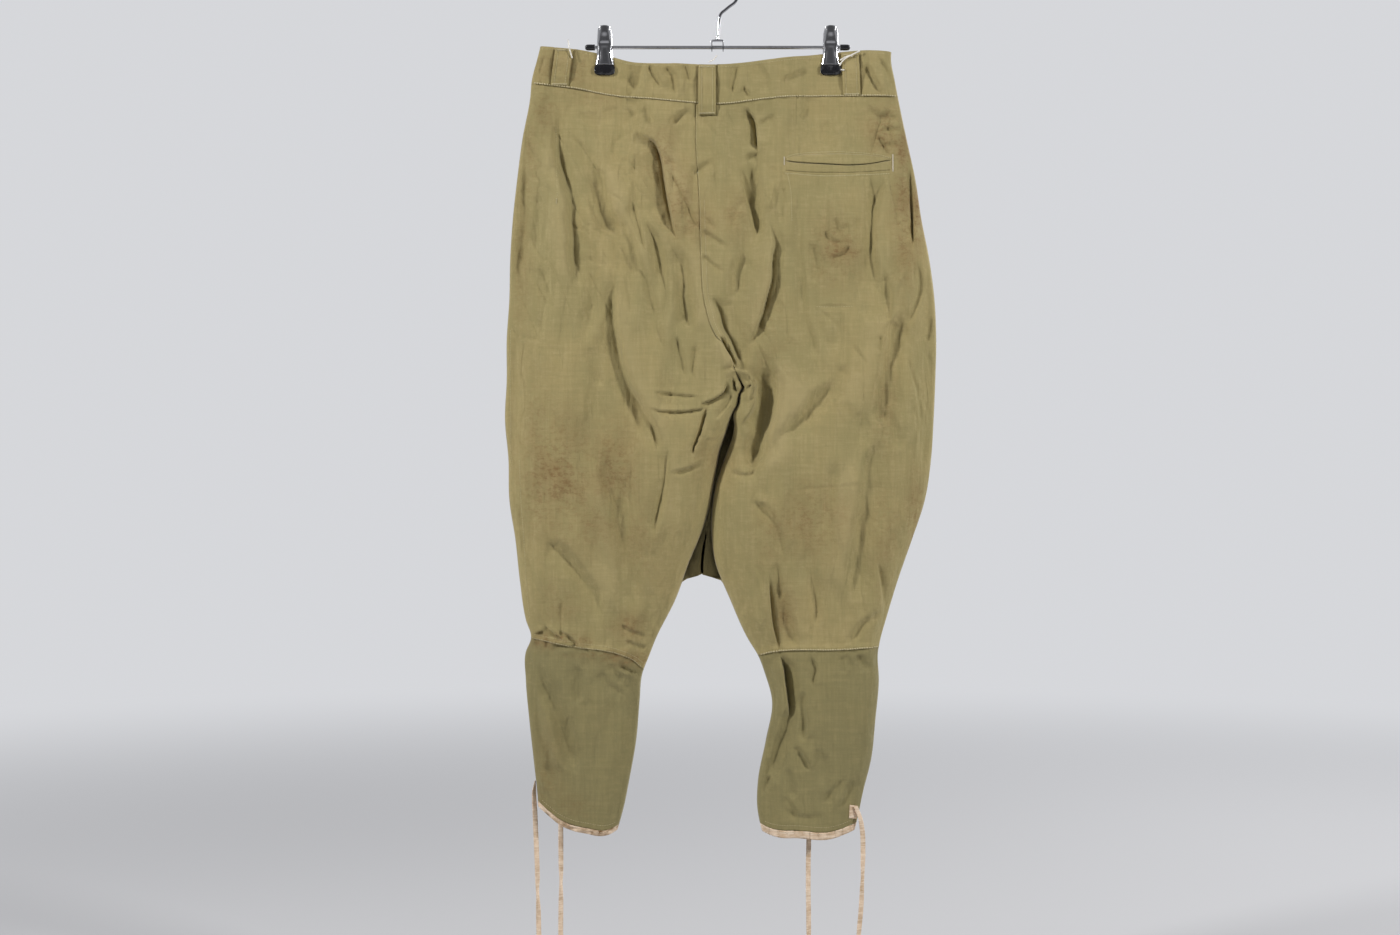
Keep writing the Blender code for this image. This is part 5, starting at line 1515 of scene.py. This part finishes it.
def horn_finish():
    finish = Finish("button_horn", coat_weight=0.3)
    grain = finish.noise(160, 4, (1, 1, 0.25))
    colour = finish.blend(HORN, HORN_PALE, grain.between(0.42, 0.66))
    return finish.done(colour, grain, 0.05, roughness=grain * 0.2 + 0.22)


def floor_finish():
    """Pale matt floor that takes on the tone of the surround further out."""
    finish = Finish("studio_floor", roughness=0.9, emission_strength=1.0)
    finish.shader.inputs["Specular IOR Level"].default_value = 0.0
    far = finish.node("ShaderNodeVectorMath", {"operation": "LENGTH"},
                      {0: finish.coordinates}, output="Value").between(1.2, 4.0)
    direction = finish.node("ShaderNodeVectorMath", {"operation": "NORMALIZE"},
                            {0: finish.coordinates})
    level = Number(finish, wall_level(finish.tree, direction.socket))
    glow = finish.blend((0, 0, 0), SKY, far * level)
    return finish.done(finish.blend(FLOOR_COLOUR, (0, 0, 0), far), **{"emission color": glow})


# ---- picture ----


def camera():
    """Level, square on to the garment's back, with the width of the photograph's frame."""
    data = bpy.data.cameras.new("camera")
    data.lens, data.sensor_width = LENS, SENSOR
    made = bpy.data.objects.new("camera", data)
    bpy.context.scene.collection.objects.link(made)
    made.location = (PICTURE_X * MM, -PICTURE_WIDTH * LENS / SENSOR * MM, PICTURE_Z * MM)
    made.rotation_euler = (math.radians(90), 0, 0)
    bpy.context.scene.camera = made


def area_light(name, where, aim, size, power, colour=(1, 1, 1)):
    data = bpy.data.lights.new(name, "AREA")
    data.shape, data.size, data.energy, data.color = "DISK", size, power, colour
    made = bpy.data.objects.new(name, data)
    bpy.context.scene.collection.objects.link(made)
    made.location = where
    made.rotation_euler = (Vector(aim) - Vector(where)).to_track_quat("-Z", "Y").to_euler()


def wall_level(tree, direction):
    """How bright the pale surround is, in each direction: darker behind the camera."""
    parts = tree.nodes.new("ShaderNodeSeparateXYZ")
    tree.links.new(direction, parts.inputs["Vector"])
    level = tree.nodes.new("ShaderNodeMath")
    level.operation = "MULTIPLY"
    for index, (low, high, least, most) in enumerate(((-0.3, 0.5, 0.38, 0.84),
                                                      (-0.94, -0.55, 0.28, 1.0))):
        ramp = tree.nodes.new("ShaderNodeMapRange")
        ramp.interpolation_type = "SMOOTHSTEP"
        for key, value in (("From Min", low), ("From Max", high), ("To Min", least),
                           ("To Max", most)):
            ramp.inputs[key].default_value = value
        tree.links.new(parts.outputs["Y"], ramp.inputs["Value"])
        tree.links.new(ramp.outputs["Result"], level.inputs[index])
    return level.outputs["Value"]


def surround():
    world = bpy.data.worlds.new("surround")
    world.use_nodes = True
    tree = world.node_tree
    where = tree.nodes.new("ShaderNodeTexCoord")
    background = tree.nodes["Background"]
    background.inputs["Color"].default_value = (*SKY, 1)
    tree.links.new(wall_level(tree, where.outputs["Generated"]), background.inputs["Strength"])
    bpy.context.scene.world = world


def studio():
    """Pale floor well below the garment, an even pale surround and two soft lights."""
    shape = bmesh.new()
    bmesh.ops.create_circle(shape, cap_ends=True, segments=96, radius=9)
    mesh = bpy.data.meshes.new("floor")
    shape.to_mesh(mesh)
    shape.free()
    mesh.materials.append(floor_finish())
    floor = bpy.data.objects.new("floor", mesh)
    floor.location = (0, 0, -1.262)
    bpy.context.scene.collection.objects.link(floor)
    surround()
    aim = (0, 0, -0.5)
    area_light("key", (-2.45, -1.5, 0.9), aim, 0.35, 70)
    area_light("fill", (2.5, -1.5, 0.6), aim, 0.4, 57)
    area_light("rear", (1.9, 1.9, 0.8), aim, 1.0, 34)
    bpy.context.scene.view_settings.view_transform = "Standard"


# ---- cuts ----

# What each sheet was cut to, m: the rectangle that it came from, and its own area
Cut = namedtuple("Cut", "width length area")


def main():
    camera()
    tape = tape_cloth("beige_tape", TAPE, TAPE_DEEP, TAPE_PALE)
    for name, route in TIES.items():
        tie(name, route, tape)

    cloth = cotton("olive_cotton", OLIVE, OLIVE_DEEP, OLIVE_PALE)
    leg_cloth = cotton("dark_olive_cotton", LEG, LEG_DEEP, LEG_PALE)
    thread = thread_finish("khaki_thread", THREAD)
    cream = thread_finish("cream_thread", CREAM)
    # The second chrome is the same plating painted darker, for the hook and the saddle.
    steel, shaded_chrome = chrome("chrome", STEEL), chrome("chrome_wire_shaded", SHADED_WIRE_STEEL)
    black, horn = rubber(), horn_finish()

    for side in OUT.values():
        thigh(side, "back", 148, 165, cloth)
        thigh(side, "front", 84, 100, cloth)
        lower_leg(side, "back", 90, 110, leg_cloth)
        lower_leg(side, "front", 56, 70, leg_cloth)
        hem_binding(side, "back", 90, tape)
        hem_binding(side, "front", 60, tape)
    waistband("band_back", "back", None, None, 300, cloth)
    waistband("band_front_left", "front", None, FLY_X - GAP / 2, 120, cloth)
    waistband("band_front_right", "front", FLY_X + GAP / 2, None, 140, cloth)
    for name, loop in LOOPS.items():
        belt_loop(name, loop, cloth)
    welt_pocket(cloth)
    fly(cloth, horn, thread)
    tie_tab(tape)

    for layer in OUT:
        band_rows(layer, thread)
    centre_rows(thread)
    knee_rows(thread)
    hem_rows(thread)
    tape_rows(cream)
    panel_rows("thread_back_panels", "back", BACK_ROWS, thread)
    panel_rows("thread_front_panels", "front", FRONT_ROWS, thread)
    bars(cream, thread)
    loose_ends(thread_finish("white_thread", PALE_THREAD))

    hook(shaded_chrome)
    bracket(shaded_chrome)
    rod(steel, black)
    for where, centre in zip(("left", "right"), CLIPS):
        clip_spring(where, centre, steel)
        for layer in OUT:
            clip_jaw(where, centre, layer, steel)
            clip_shoe(where, centre, layer, black)

    studio()


main()
bpy.context.view_layer.update()
